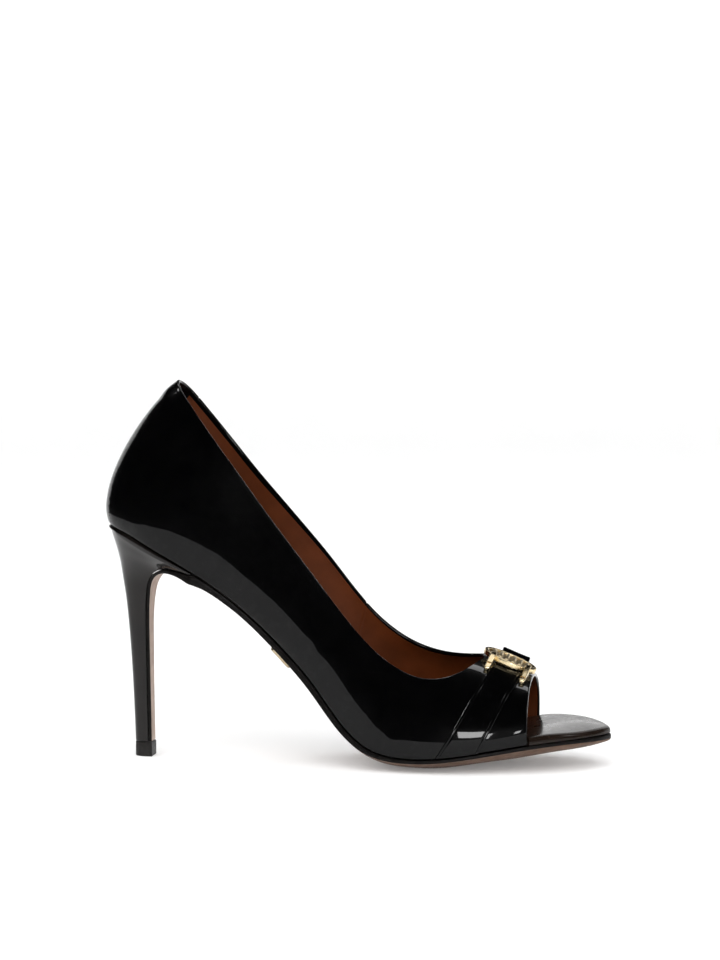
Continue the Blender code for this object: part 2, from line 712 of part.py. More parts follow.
def ridge_frame():
    """Origin and directions of the ring plane on the ridge of the vamp."""
    t = np.array([-t_of_x(RING_X)])
    share = np.array([RING_SHARE])
    origin = last_point(t, share)[0]
    up = last_normal(t, share)[0]
    side = np.cross(up, [1.0, 0.0, 0.0])
    side /= np.linalg.norm(side)
    ahead = np.cross(side, up)
    return origin, ahead, side, up


def on_ridge(points):
    """Points given along, across and over the ridge plane."""
    origin, ahead, side, up = ridge_frame()
    points = np.asarray(points, float)
    return origin + points[:, :1] * ahead + points[:, 1:2] * side + points[:, 2:] * up


def buckle_ring_mesh():
    """Oval ring standing on the strap."""
    angle = np.linspace(0.0, 2.0 * math.pi, RING_STEPS, endpoint=False)
    low = RING_LIFT
    high = RING_LIFT + RING_TALL
    profile = [(0.0, low), (0.0, high - RING_BEVEL), (RING_BEVEL, high), (RING_BAND - RING_BEVEL, high),
               (RING_BAND, high - RING_BEVEL), (RING_BAND, low)]
    size = len(profile)
    points = []
    for a in angle:
        for inward, over in profile:
            along = (RING_LONG - inward) * math.cos(a)
            across = (RING_WIDE - inward) * math.sin(a)
            points.append((along, across, over))
    faces = []
    for i in range(RING_STEPS):
        n = (i + 1) % RING_STEPS
        for j in range(size):
            k = (j + 1) % size
            faces.append((i * size + j, n * size + j, n * size + k, i * size + k))
    return on_ridge(points), faces


def plaque_mesh():
    """Ribbed oval plaque inside the ring."""
    long = RING_LONG - RING_BAND - PLAQUE_GAP
    wide = RING_WIDE - RING_BAND - PLAQUE_GAP
    face = PLAQUE_LIFT + PLAQUE_TALL
    stations = [(-PLAQUE_END, face)]
    for middle in np.linspace(-RIB_SPREAD, RIB_SPREAD, PLAQUE_RIBS):
        stations += [(middle - RIB_FOOT, face), (middle - RIB_HEAD, face + RIB_TALL),
                     (middle + RIB_HEAD, face + RIB_TALL), (middle + RIB_FOOT, face)]
    stations.append((PLAQUE_END, face))
    points = []
    for place, high in stations:
        half = wide * math.sqrt(1.0 - place * place)
        x = place * long
        points += [(x, -half, PLAQUE_LIFT), (x, half, PLAQUE_LIFT), (x, half, high), (x, -half, high)]
    return on_ridge(points), ring_faces(len(stations), 4)


def plate_mesh():
    """Plain plate on the underside of the waist."""
    t = np.linspace(t_of_x(PLATE_FROM_X), t_of_x(PLATE_TO_X), PLATE_ROWS)
    x, _, _, lean = bottom_at(t)
    left, right = outline_at(t, SOLE_INSET)
    edge = spline(column(SOLE, "x"), column(SOLE, "edge"), x)
    depth = spline(column(SOLE, "x"), column(SOLE, "depth"), x)
    points = []
    for i in range(PLATE_ROWS):
        middle = 0.5 * (left[i] + right[i])
        y = np.linspace(-PLATE_HALF, PLATE_HALF, PLATE_ACROSS + 1)
        share = 2.0 * y / np.linalg.norm(right[i] - left[i])
        dome = 1.0 - np.abs(share) ** SOLE_DOME_POWER
        low = GAP + edge[i] + (depth[i] - edge[i]) * dome + GAP
        base = middle + np.outer(y, [0.0, 1.0, 0.0])
        up = up_of(lean[i])
        upper = base - up * low[:, None]
        lower = base - up * (low + PLATE_THICK)[:, None]
        points += list(upper) + list(lower[::-1])
    return np.array(points), ring_faces(PLATE_ROWS, 2 * (PLATE_ACROSS + 1))


def clear_scene():
    """Remove every object that is there."""
    for item in list(bpy.data.objects):
        bpy.data.objects.remove(item, do_unlink=True)


def make_material(spec):
    """Principled material of one sub-part."""
    material = bpy.data.materials.new(spec.name)
    material.use_nodes = True
    shader = material.node_tree.nodes["Principled BSDF"]
    shader.inputs["Base Color"].default_value = (*spec.color, 1.0)
    shader.inputs["Roughness"].default_value = spec.roughness
    shader.inputs["Metallic"].default_value = spec.metallic
    material.diffuse_color = (*spec.color, 1.0)
    return material


def make_object(name, mesh_data, shift, material, smooth):
    """Closed mesh object in metres from points and faces in millimetres."""
    points, faces = mesh_data
    mesh = bpy.data.meshes.new(name)
    mesh.from_pydata([tuple(p) for p in (points - shift) * MM], [], faces)
    form = bmesh.new()
    form.from_mesh(mesh)
    bmesh.ops.remove_doubles(form, verts=form.verts, dist=1e-6)
    bmesh.ops.dissolve_degenerate(form, edges=form.edges, dist=1e-7)
    bmesh.ops.recalc_face_normals(form, faces=form.faces)
    for face in form.faces:
        face.smooth = smooth
    form.to_mesh(mesh)
    form.free()
    item = bpy.data.objects.new(name, mesh)
    bpy.context.scene.collection.objects.link(item)
    if material:
        mesh.materials.append(material)
    return item


def join_into(item, tool):
    """Fuse a hidden piece into a casting."""
    tool.hide_render = True
    tool.display_type = "WIRE"
    joint = item.modifiers.new(tool.name, "BOOLEAN")
    joint.operation = "UNION"
    joint.solver = "EXACT"
    joint.object = tool


def build():
    """Make every sub-part about the middle of the shoe's box."""
    clear_scene()
    pieces = {
        "upper": (upper_mesh(), PATENT, True),
        "insole": (insole_mesh(), INSOLE_COVER, True),
        "outsole": (outsole_mesh(), LEATHER_SOLE, True),
        "heel": (heel_mesh(), HEEL_COVER, True),
        "heel_tip": (tip_mesh(), TIP_RUBBER, False),
        "vamp_strap": (strap_mesh(), STRAP_PATENT, True),
        "buckle": (buckle_ring_mesh(), GOLD, False),
        "buckle_plaque": (plaque_mesh(), GOLD_PLAQUE, False),
        "sole_plate": (plate_mesh(), GOLD_PLATE, False),
    }
    every = np.concatenate([data[0] for data, _, _ in pieces.values()])
    low = every.min(axis=0)
    high = every.max(axis=0)
    shift = np.array([0.5 * (low[0] + high[0]), 0.5 * (low[1] + high[1]), 0.0])
    made = {}
    for name, (data, spec, smooth) in pieces.items():
        made[name] = make_object(name, data, shift, make_material(spec), smooth)
    for name, bar in BARS.items():
        tool = make_object(name, bar_mesh(bar), shift, None, False)
        join_into(made["buckle"], tool)


build()
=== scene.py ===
"""Looks of the open-toe stiletto pump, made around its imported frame.

Tables are in millimetres in the shoe's own frame, as in the part's source: x from the back of the heel
to the toe, y towards the inner side of the foot, z up from the floor. Pieces are made in metres.
"""
import math
from collections import namedtuple

import bmesh
import bpy
import numpy as np
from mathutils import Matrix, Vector


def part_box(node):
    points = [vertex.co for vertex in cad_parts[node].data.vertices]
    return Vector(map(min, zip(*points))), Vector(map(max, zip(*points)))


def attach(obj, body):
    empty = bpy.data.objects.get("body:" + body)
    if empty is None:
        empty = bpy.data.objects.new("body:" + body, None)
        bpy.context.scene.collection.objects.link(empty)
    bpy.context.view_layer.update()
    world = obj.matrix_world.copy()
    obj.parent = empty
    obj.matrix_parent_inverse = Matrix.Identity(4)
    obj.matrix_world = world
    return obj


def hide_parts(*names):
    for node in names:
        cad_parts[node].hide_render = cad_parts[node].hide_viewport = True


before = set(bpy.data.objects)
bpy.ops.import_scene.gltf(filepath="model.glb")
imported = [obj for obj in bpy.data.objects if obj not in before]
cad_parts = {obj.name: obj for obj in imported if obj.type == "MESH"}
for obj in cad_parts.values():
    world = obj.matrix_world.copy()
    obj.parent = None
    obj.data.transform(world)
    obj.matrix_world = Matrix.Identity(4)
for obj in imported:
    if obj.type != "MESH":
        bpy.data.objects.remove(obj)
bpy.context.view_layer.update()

# Metres in a millimetre, then sizes in millimetres and places along the shoe
MM = 0.001
GAP = 0.3
WALL = 1.6
FIT_GAP = 0.45
TOE_CUT_X = 188.2
TOE_CUT_RIDGE_X = 187.6
TOE_CUT_MED_X = 187.0
THROAT_X = 166.5
RIDGE_SIDE = 5.0
RIDGE_FROM_X = 107.0
RIDGE_TO_X = 135.0
SOLE_INSET = 0.2
SOLE_CORNER = 0.3
INSOLE_TOE_INSET = 0.5
INSOLE_EDGE_ROUND = 2.2
INSOLE_STEP = 0.9
STEP_BACK_X = 42.6
SEAT_FRONT_X = 41.4
RIM = 0.5 * WALL
RIM_AT_THROAT = 1.5 * RIM
FOOT_ROLL = 1.3

# Dome of the sole as a power, and the most of its width that a rounded corner takes
SOLE_DOME_POWER = 2.4
SOLE_CORNER_MOST = 0.3

# Patent turned in under the topline: width at front and back, shares of the way back where it grows, and rows
TURNED_BAND = 0.7
TURNED_BAND_BACK = 1.9
TURNED_FROM = 0.35
TURNED_FULL = 0.75
TURNED_STEPS = np.array([1.0, 0.5, 0.0])
TURNED_LEAD = 1.8

# Patent turned in over the back of the collar: where it starts on the way to the back, and its mesh rows
BACK_BAND_FROM = 0.93
BACK_BAND_ROWS = 6

# Padded roll round the back under the topline in millimetres, and its run as a share of the way back
COLLAR_ROLL = 0.6
COLLAR_ROLL_DOWN = 6.5
COLLAR_ROLL_WIDE = 3.5
COLLAR_ROLL_RUN = 0.09

# Crown of the padded footbed at the toe in millimetres, its lean to the outer side, and their reach
CROWN = 0.6
CROWN_LEAN = 1.0
CROWN_FROM_X = 165.0
CROWN_RUN = 18.0
CROWN_WIDE = 36.0

# Rounding of the sole edge at the toe: share of its thickness, start and run in millimetres
TOE_ROUND = 0.38
TOE_ROUND_FROM_X = 188.0
TOE_ROUND_RUN = 16.0

# Sock lining in millimetres
SOCK_TO_X = 177.0
SOCK_INSET = 2.6
SOCK_THICK = 0.7
SOCK_ROUND = 0.35

# Strap sizes in millimetres, and places on it as shares of the wall
STRAP_THICK = 1.1
STRAP_LOW = 0.05
STRAP_ROUND = 0.5
STRAP_FOOT = 0.7
STRAP_END = 0.012
STRAP_SKIVE = 0.2
STRAP_DOUBLE = 0.4
DOUBLE_FROM = 0.665
DOUBLE_RUN = 0.012
FOLD_TALL = 4.4
FOLD_FROM = 0.95
FOLD_FULL = 0.92
FOLD_TO = 0.78
FOLD_NOSE = 0.008

# Groove inside each folded edge of the strap: place, half width and depth, then its section
GROOVE_IN = 1.5
GROOVE_WIDE = 0.28
GROOVE_DEEP = 0.14
GROOVE_RUN = np.array([-1.0, -0.6, -0.25, 0.0, 0.25, 0.6, 1.0])
GROOVE_SINK = np.array([0.0, 0.25, 0.8, 1.0, 0.8, 0.25, 0.0])

# Buckle sizes in millimetres, and places as shares of the wall or of the plaque
RING_X = 176.3
RING_SHARE = 0.93
RING_LONG = 12.0
RING_WIDE = 7.6
RING_BAND = 1.6
RING_ROUND = 0.5
RING_LIFT = 1.7
RING_TALL = 2.6
BAR_WIDE = 2.2
BAR_FLAT = 0.03
BAR_ROUND = 0.45
BAR_TOE = 0.012
BAR_DROP = 1.2
BAR_LEAST = 2.2 * BAR_ROUND
BAR_TAPER = 0.4
NOTCH_UP = 0.035
NOTCH_WIDE = 0.009
NOTCH_DEEP = 1.1
NOTCH_OUT = 0.6
NOTCH_SLOPE = 0.1
NOTCH_STEPS = np.array([-0.6, -0.5, -0.4, 0.4, 0.5, 0.6])
PLAQUE_GAP = 0.8
PLAQUE_LIFT = 2.1
PLAQUE_TALL = 1.7
PLAQUE_EDGE = 0.25
PLAQUE_EDGE_POWER = 4
PLAQUE_RIBS = 6
RIB_TALL = 0.9
PLAQUE_END = 0.985
RIB_SPREAD = 0.78
RIB_FOOT = 0.10

# Plate under the arch in millimetres, least share of its width, and powers of its corners and bevels
PLATE_FROM_X = 77.6
PLATE_TO_X = 86.0
PLATE_HALF = 12.0
PLATE_THICK = 1.6
PLATE_ROUND = 0.35
PLATE_LEAST = 0.8
PLATE_CORNER = 8.0
PLATE_SIDE_BEVEL = 12
PLATE_END_BEVEL = 16

# Distances in metres under which points of a piece merge, its edges dissolve and points of the room merge
MERGE_POINTS = 2e-6
DISSOLVE_EDGES = 1e-7
MERGE_ROOM = 1e-4

# Steps for slopes of the last: millimetres along its edge, and share up its profile
EDGE_STEP = 0.05
SHARE_STEP = 0.002

# Counts of samples for looking up a place, and of points in one batch of distances
EDGE_SAMPLES = 1200
TOPLINE_SAMPLES = 500
PROFILE_SAMPLES = 401
OUTLINE_SAMPLES = 1500
BATCH = 500

# Mesh counts, with the row places in the rolled foot of the wall, and the span that row places are scaled by
VAMP_COLS = 24
COLLAR_COLS = 150
WALL_ROWS = 44
RIM_STEPS = 8
FOOT_STEPS = np.array([0.0, 0.06, 0.2, 0.42, 0.68, 1.0])
ROW_SPAN = 0.02
STRAP_ROWS = 70
STRAP_ACROSS = 22
STRAP_UNDER = 8
DOUBLE_STEPS = 6
NOSE_STEPS = 8
RING_STEPS = 120
BAR_ROWS = 40
BAR_BEND_STEPS = 6
PLAQUE_ROWS = 181
PLAQUE_ACROSS = 21
PLAQUE_UNDER_EVERY = 4
PLATE_ROWS = 41
PLATE_ACROSS = 25
ROUND_STEPS = 5
SOLE_ROWS = 150
FLAP_ROWS = 70
SOLE_ACROSS = 30
INSOLE_BACK_ROWS = 110
INSOLE_TOE_ROWS = 70
INSOLE_ACROSS = 34
HEEL_ROWS = 80
HEEL_HALF = 30

# Rounded top edge of the heel: size, least share of it at the front, then shares inwards and downwards
HEEL_BEVEL = 0.9
HEEL_BEVEL_LEAST = 0.05
BEVEL_EDGE = (0.0, 0.08, 0.3, 0.62, 1.0)
BEVEL_DOWN = (1.0, 0.62, 0.3, 0.08, 0.0)

# Row spacing: above one is closer together at the end
SOLE_TOE_BUNCH = 1.35
INSOLE_HEEL_BUNCH = 1.15
INSOLE_TOE_BUNCH = 1.35

# Bottom edge of the last: place, height, lean of the section plane, half widths
Bottom = namedtuple("Bottom", "x z lean lat med")
BOTTOM = [Bottom(*row) for row in (
    (0.8, 102.6, 26.0, 0.0, 0.0),
    (4.3, 101.3, 26.2, 9.3, 9.3),
    (12.0, 98.6, 26.5, 15.6, 15.5),
    (20.5, 94.4, 27.3, 20.1, 19.9),
    (30.0, 89.4, 29.0, 22.5, 22.0),
    (43.0, 82.0, 31.5, 22.7, 21.3),
    (54.0, 74.6, 35.5, 21.4, 19.2),
    (68.0, 62.9, 40.5, 20.0, 16.8),
    (82.0, 49.4, 42.5, 20.6, 16.4),
    (95.0, 35.3, 40.5, 23.6, 18.6),
    (107.0, 20.1, 31.5, 27.8, 23.2),
    (120.0, 9.6, 19.0, 32.0, 28.8),
    (135.0, 6.3, 8.0, 35.1, 33.4),
    (150.0, 6.6, 2.0, 35.9, 35.7),
    (165.0, 8.6, 0.0, 34.2, 35.3),
    (180.0, 11.0, 0.0, 30.8, 32.9),
    (188.2, 12.3, 0.0, 28.4, 31.0),
    (196.0, 13.3, 0.0, 25.2, 28.2),
    (204.0, 13.9, 0.0, 20.6, 24.3),
    (212.0, 14.3, 0.0, 13.4, 17.9),
    (217.5, 14.5, 0.0, 6.6, 11.5),
    (220.4, 14.5, 0.0, 0.6, 6.0),
    (221.2, 14.5, 0.0, -2.8, 2.8),
)]

# Sections of the last above that edge: heights up the plane, then half widths of each side
Section = namedtuple(
    "Section", "bow belly_up crown_up top_up lat_belly lat_crown lat_top med_belly med_crown med_top")
SECTIONS = [Section(*row) for row in (
    (1.00, 9.0, 46.0, 72.0, 0.0, 0.0, 0.0, 0.0, 0.0, 0.0),
    (0.90, 9.0, 46.0, 72.0, 10.8, 10.8, 8.8, 10.8, 10.8, 8.8),
    (0.72, 9.7, 46.0, 71.0, 18.3, 17.8, 14.6, 18.1, 17.5, 14.5),
    (0.48, 12.4, 43.6, 68.0, 24.6, 23.7, 18.2, 24.1, 21.8, 18.0),
    (0.22, 14.0, 41.6, 64.0, 26.4, 25.9, 19.6, 26.8, 23.5, 19.4),
    (0.05, 10.5, 37.3, 58.0, 26.4, 24.1, 20.6, 25.8, 23.8, 20.2),
    (0.00, 7.4, 32.8, 54.0, 26.0, 22.9, 20.8, 22.8, 24.0, 20.0),
    (0.00, 5.7, 30.7, 52.0, 26.2, 23.7, 20.4, 20.3, 25.0, 19.4),
    (0.00, 7.6, 31.2, 52.0, 27.4, 26.4, 17.0, 20.7, 26.6, 16.0),
    (0.00, 12.0, 35.1, 54.0, 29.7, 30.8, 10.0, 24.5, 28.6, 9.5),
    (0.00, 15.1, 40.6, 55.0, 31.6, 35.0, 3.0, 28.4, 33.5, 4.0),
    (0.00, 14.8, 44.6, 53.0, 33.2, 37.0, -2.0, 32.4, 37.4, 4.0),
    (0.00, 15.5, 46.0, 48.5, 36.4, 33.7, -5.0, 36.0, 36.6, 5.0),
    (0.00, 18.2, 43.4, 43.4, 38.0, 28.6, -5.0, 37.8, 33.4, 5.0),
    (0.00, 16.4, 38.6, 38.6, 36.3, 24.3, -5.0, 37.2, 30.2, 5.0),
    (0.00, 15.0, 30.3, 30.3, 32.9, 23.2, -5.0, 34.8, 27.6, 5.0),
    (0.00, 14.5, 26.2, 26.2, 30.4, 23.5, -5.0, 33.0, 27.0, 5.0),
)]

# Forward offset of the back seam at foot, belly, crown and top of the profile
BACK_BOW = (0.0, -11.8, -10.8, 1.0)

# Topline of each side seen from the side
Topline = namedtuple("Topline", "x lat med")
TOPLINE = [Topline(*row) for row in (
    (28.0, 170.5, 170.5),
    (32.3, 165.0, 165.0),
    (40.0, 155.6, 154.2),
    (52.0, 140.4, 138.4),
    (63.0, 125.7, 124.6),
    (74.0, 110.5, 112.0),
    (84.5, 96.6, 100.0),
    (95.0, 83.2, 87.6),
    (105.5, 69.8, 74.4),
    (116.0, 57.8, 62.6),
    (126.0, 48.6, 54.4),
    (134.0, 43.4, 49.8),
    (141.0, 40.8, 47.2),
    (147.0, 40.2, 46.0),
    (153.0, 40.9, 45.6),
    (159.0, 43.0, 45.8),
    (164.0, 45.6, 46.4),
    (166.5, 46.9, 46.9),
    (170.0, 48.8, 48.8),
)]

# Outsole below the last: edge and middle thickness along the section plane
Sole = namedtuple("Sole", "x edge depth")
SOLE = [Sole(*row) for row in (
    (42.0, 4.5, 5.2),
    (48.0, 3.0, 3.7),
    (54.0, 2.6, 3.3),
    (63.0, 2.3, 3.0),
    (73.0, 2.4, 3.2),
    (86.0, 2.6, 3.7),
    (98.0, 2.6, 4.3),
    (110.0, 2.4, 5.0),
    (117.0, 2.2, 5.6),
    (125.0, 1.9, 6.4),
    (135.0, 1.6, 6.6),
    (150.0, 1.5, 7.1),
    (165.0, 1.5, 7.0),
    (180.0, 1.5, 7.3),
    (190.0, 1.6, 7.1),
    (203.0, 1.8, 6.2),
    (215.0, 2.4, 4.6),
    (221.2, 2.9, 2.9),
)]

# Heel breast from the waist to the tip: inner face of the sole flap there, then the heel ring behind it
Breast = namedtuple("Breast", "x z lean flap back_x back_z half seat")
BREAST = [Breast(*row) for row in (
    (40.76, 82.1, 22.0, 3.7, 1.4, 100.5, 22.6, 0.97),
    (34.75, 82.95, 13.0, 2.0, 2.2, 97.9, 19.6, 0.86),
    (29.66, 83.8, 2.0, 1.7, 3.3, 94.4, 17.1, 0.7),
    (25.14, 83.03, -18.0, 1.5, 4.5, 90.2, 14.0, 0.5),
    (21.66, 80.64, -42.0, 1.4, 5.6, 85.3, 11.0, 0.3),
    (19.53, 77.09, -65.0, 1.4, 6.4, 79.8, 8.4, 0.15),
    (18.47, 72.2, -81.0, 1.4, 7.45, 73.0, 6.8, 0.05),
    (17.95, 66.6, -87.0, 1.4, 8.25, 66.6, 5.8, 0.0),
    (17.75, 54.0, -90.0, 1.4, 9.4, 54.0, 5.0, 0.0),
    (17.9, 37.0, -91.0, 1.4, 10.5, 37.0, 4.5, 0.0),
    (18.1, 22.0, -91.0, 1.4, 11.2, 22.0, 4.2, 0.0),
    (18.3, 6.8, -91.0, 1.4, 11.75, 6.8, 4.2, 0.0),
)]

# Insole thickness up the section plane
Insole = namedtuple("Insole", "x tall")
INSOLE = [Insole(*row) for row in (
    (1.0, 2.6),
    (60.0, 2.6),
    (120.0, 3.0),
    (150.0, 3.0),
    (175.0, 3.6),
    (190.0, 4.5),
    (204.0, 4.1),
    (221.2, 3.0),
)]

# Strap edges along the shoe against height share on the wall
Strap = namedtuple("Strap", "share back front")
STRAP = [Strap(*row) for row in (
    (0.0, 149.1, 167.5),
    (0.25, 158.0, 174.0),
    (0.5, 165.2, 179.2),
    (0.75, 170.0, 182.5),
    (1.0, 171.6, 183.4),
)]

# Buckle bars: strap edge they follow, sides from that edge, heights over the wall, shares of foot and head
Bar = namedtuple("Bar", "edge near far low high over end top")
BARS = [Bar(*row) for row in (
    ("back", -GAP - BAR_WIDE, -GAP, 0.1, 2.2, 5.5, 0.745, 0.876),
    ("front", GAP, GAP + BAR_WIDE, 0.1, 2.2, 4.8, 0.715, 0.91),
)]

# Outline of the heel tip: height, back, front, half width; then the power of its round back and its points
Tip = namedtuple("Tip", "z back front half")
TIP = [Tip(*row) for row in (
    (0.0, 12.05, 19.6, 4.15),
    (0.12, 11.87, 19.78, 4.33),
    (0.4, 11.75, 19.9, 4.45),
    (5.9, 11.75, 19.9, 4.45),
    (6.2, 11.8, 19.82, 4.38),
    (6.4, 11.95, 19.65, 4.2),
)]
TIP_ROUND = 0.8
TIP_HALF = 36

# Seams of the upper: side, share of the way back, depth, half width and dip, and the mesh columns round them
Seam = namedtuple("Seam", "side place deep wide dip")
SEAMS = [Seam(*row) for row in (
    ("lat", 1.0, 0.16, 0.45, 0.0),
    ("med", 1.0, 0.16, 0.45, 0.0),
    ("med", 0.345, 0.14, 0.4, 0.45),
    ("med", 0.91, 0.06, 0.4, 0.35),
)]
SEAM_RUN = 200.0
SEAM_STEPS = np.array([-1.4, -0.9, -0.6, -0.3, 0.0, 0.3, 0.6, 0.9, 1.4])
SEAM_NEAREST = 0.2

# Soft creases of the upper seen from the side: side, ends, depth and half width
Crease = namedtuple("Crease", "side x0 z0 x1 z1 deep wide")
CREASES = [Crease(*row) for row in (
    ("lat", 138.0, 38.0, 130.0, 16.0, 0.14, 3.4),
    ("med", 140.0, 43.0, 131.0, 17.0, 0.16, 3.6),
    ("lat", 104.0, 64.0, 92.0, 46.0, 0.10, 4.0),
    ("med", 102.0, 70.0, 90.0, 50.0, 0.12, 4.2),
)]
CREASE_ENDS = 1.5

# Sign of y on the outer and the inner side
SIGN = {"lat": -1.0, "med": 1.0}


def spline(knots, values, at, loop=False):
    """Cubic spline through values at knots; natural ends, or a loop whose last knot is the first."""
    t, y, at = (np.asarray(item, float) for item in (knots, values, at))
    n = len(t)
    h = np.diff(t)
    slope = np.diff(y) / h
    matrix = np.eye(n)
    right = np.zeros(n)
    right[1:-1] = 6.0 * np.diff(slope)
    for i in range(1, n - 1):
        matrix[i, i - 1:i + 2] = h[i - 1], 2.0 * (h[i - 1] + h[i]), h[i]
    if loop:
        matrix[0, -1] = -1.0
        matrix[-1, [0, 1, -2, -1]] = 2.0 * (h[0] + h[-1]), h[0], h[-1], 0.0
        right[-1] = 6.0 * (slope[0] - slope[-1])
    bend = np.linalg.solve(matrix, right)
    k = np.clip(np.searchsorted(t, at, side="right") - 1, 0, n - 2)
    a = (t[k + 1] - at) / h[k]
    b = (at - t[k]) / h[k]
    cubic = ((a ** 3 - a) * bend[k] + (b ** 3 - b) * bend[k + 1]) * h[k] ** 2 / 6.0
    return a * y[k] + b * y[k + 1] + cubic


def column(rows, name):
    """One named column of a table."""
    return np.array([getattr(row, name) for row in rows])


def at_place(rows, name, place):
    """A column of a table, drawn out smoothly against the table's first column."""
    return spline(column(rows, rows[0]._fields[0]), column(rows, name), place)


def unit(vectors):
    """Vectors of length one."""
    return vectors / np.linalg.norm(vectors, axis=-1, keepdims=True)


def xyz(x, y, z):
    """Points from their coordinates."""
    return np.stack(np.broadcast_arrays(x, y, z), axis=-1)


def ease(share):
    """Smooth step from zero to one."""
    share = np.clip(share, 0.0, 1.0)
    return share * share * (3.0 - 2.0 * share)


def arch(share, power=2):
    """Height of a rounded form, from one at its middle to zero at its edge."""
    return np.sqrt(np.clip(1.0 - np.abs(share) ** power, 0.0, 1.0))


def quarter_turn(count):
    """Angles over a quarter turn."""
    return np.linspace(0.0, 0.5 * math.pi, count)


def side_to_side(count):
    """Shares from minus one to one, close together at both ends."""
    return np.sin(np.linspace(-0.5 * math.pi, 0.5 * math.pi, count))


def run_along(*columns):
    """Distance along a line of points from its start."""
    step = np.linalg.norm(np.diff(np.stack(columns), axis=1), axis=0)
    return np.concatenate([[0.0], np.cumsum(step)])


def edge_knots():
    """Distance along the bottom edge at each row, the same for both sides."""
    half = 0.5 * (column(BOTTOM, "lat") + column(BOTTOM, "med"))
    return run_along(column(BOTTOM, "x"), column(BOTTOM, "z"), half)


KNOTS = edge_knots()
EDGE_LENGTH = KNOTS[-1]
LOOP = np.concatenate([-KNOTS[::-1], KNOTS[1:]])
FIT = len(SECTIONS)
WALL_KNOTS = np.concatenate([-KNOTS[:FIT][::-1], KNOTS[1:FIT]])


def both_sides(lateral, medial):
    """A column over the whole loop from the outer side round the heel to the inner side."""
    return np.concatenate([lateral[::-1], medial[1:]])


def bottom_at(t):
    """Place, side offset, height and lean of the bottom edge; t below zero is the outer side."""
    x, z, lean, lat, med = (column(BOTTOM, name) for name in Bottom._fields)
    loops = (both_sides(*sides) for sides in ((x, x), (-lat, med), (z, z), (lean, lean)))
    x, y, z, lean = (spline(LOOP, values, t, loop=True) for values in loops)
    return x, y, z, np.radians(lean)


def section_at(name, t):
    """A column of the section table that is the same on both sides."""
    values = column(SECTIONS, name)
    return spline(WALL_KNOTS, both_sides(values, values), t)


def width_at(name, t):
    """A half-width column, signed by side."""
    lateral = -column(SECTIONS, "lat_" + name)
    medial = column(SECTIONS, "med_" + name)
    return spline(WALL_KNOTS, both_sides(lateral, medial), t)


def t_of_x(x):
    """Edge distance on the inner side at a place along the shoe; the outer side is minus this."""
    fine = np.linspace(0.0, EDGE_LENGTH, EDGE_SAMPLES)
    return np.interp(x, bottom_at(fine)[0], fine)


def top_at(t):
    """Half width at the head of the profile, closed to the ridge ahead of the instep."""
    open_t = t_of_x(RIDGE_FROM_X)
    closed_t = t_of_x(RIDGE_TO_X)
    fade = ease((closed_t - np.abs(t)) / (closed_t - open_t))
    return width_at("top", t) * fade + RIDGE_SIDE * (1.0 - fade)


def last_point(t, b):
    """Point of the last at edge distance t and profile share b, both arrays of one shape."""
    t = np.asarray(t, float)
    b = np.asarray(b, float)
    x, foot, z, lean = bottom_at(t)
    weights = ((1 - b) ** 3, 3 * (1 - b) ** 2 * b, 3 * (1 - b) * b ** 2, b ** 3)
    sides = (foot, width_at("belly", t), width_at("crown", t), top_at(t))
    zero = np.zeros_like(t)
    ups = (zero, section_at("belly_up", t), section_at("crown_up", t), section_at("top_up", t))
    bow = section_at("bow", t)
    y = sum(w * s for w, s in zip(weights, sides))
    up = sum(w * u for w, u in zip(weights, ups))
    fore = sum(w * o for w, o in zip(weights, BACK_BOW)) * bow
    px = x + up * np.sin(lean) + fore * np.cos(lean)
    pz = z + up * np.cos(lean) - fore * np.sin(lean)
    return xyz(px, y, pz)


def last_normal(t, b):
    """Outward direction of the last."""
    b = np.clip(b, SHARE_STEP, 1 - SHARE_STEP)
    along = last_point(t + EDGE_STEP, b) - last_point(t - EDGE_STEP, b)
    rise = last_point(t, b + SHARE_STEP) - last_point(t, b - SHARE_STEP)
    return unit(np.cross(rise, along))


def up_of(lean):
    """Up direction of a section plane."""
    return xyz(np.sin(lean), 0.0, np.cos(lean))


def outline_at(t, inset):
    """Both edges of the bottom outline moved inwards in plan."""
    found = []
    for sign in SIGN.values():
        s = sign * np.asarray(t, float)
        x, y, z, _ = bottom_at(s)
        ahead = bottom_at(np.clip(s + EDGE_STEP, -EDGE_LENGTH, EDGE_LENGTH))
        behind = bottom_at(np.clip(s - EDGE_STEP, -EDGE_LENGTH, EDGE_LENGTH))
        along = unit(np.stack([ahead[0] - behind[0], ahead[1] - behind[1]], axis=-1))
        found.append(xyz(x + inset * along[..., 1], y - inset * along[..., 0], z))
    tip = np.asarray(t) >= EDGE_LENGTH - 1e-6
    middle = 0.5 * (found[0] + found[1])
    found[0][tip] = middle[tip]
    found[1][tip] = middle[tip]
    return found


# Where the tables lie against the frame, in millimetres, from the middle of the heel tip in both
TIP_MIDDLE = np.array([0.5 * (TIP[2].back + TIP[2].front), 0.0, 0.0])
tip_low, tip_high = (np.array(corner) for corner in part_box("heel_tip"))
SHIFT = TIP_MIDDLE - 0.5 * (tip_low + tip_high) * np.array([1.0, 1.0, 0.0]) / MM


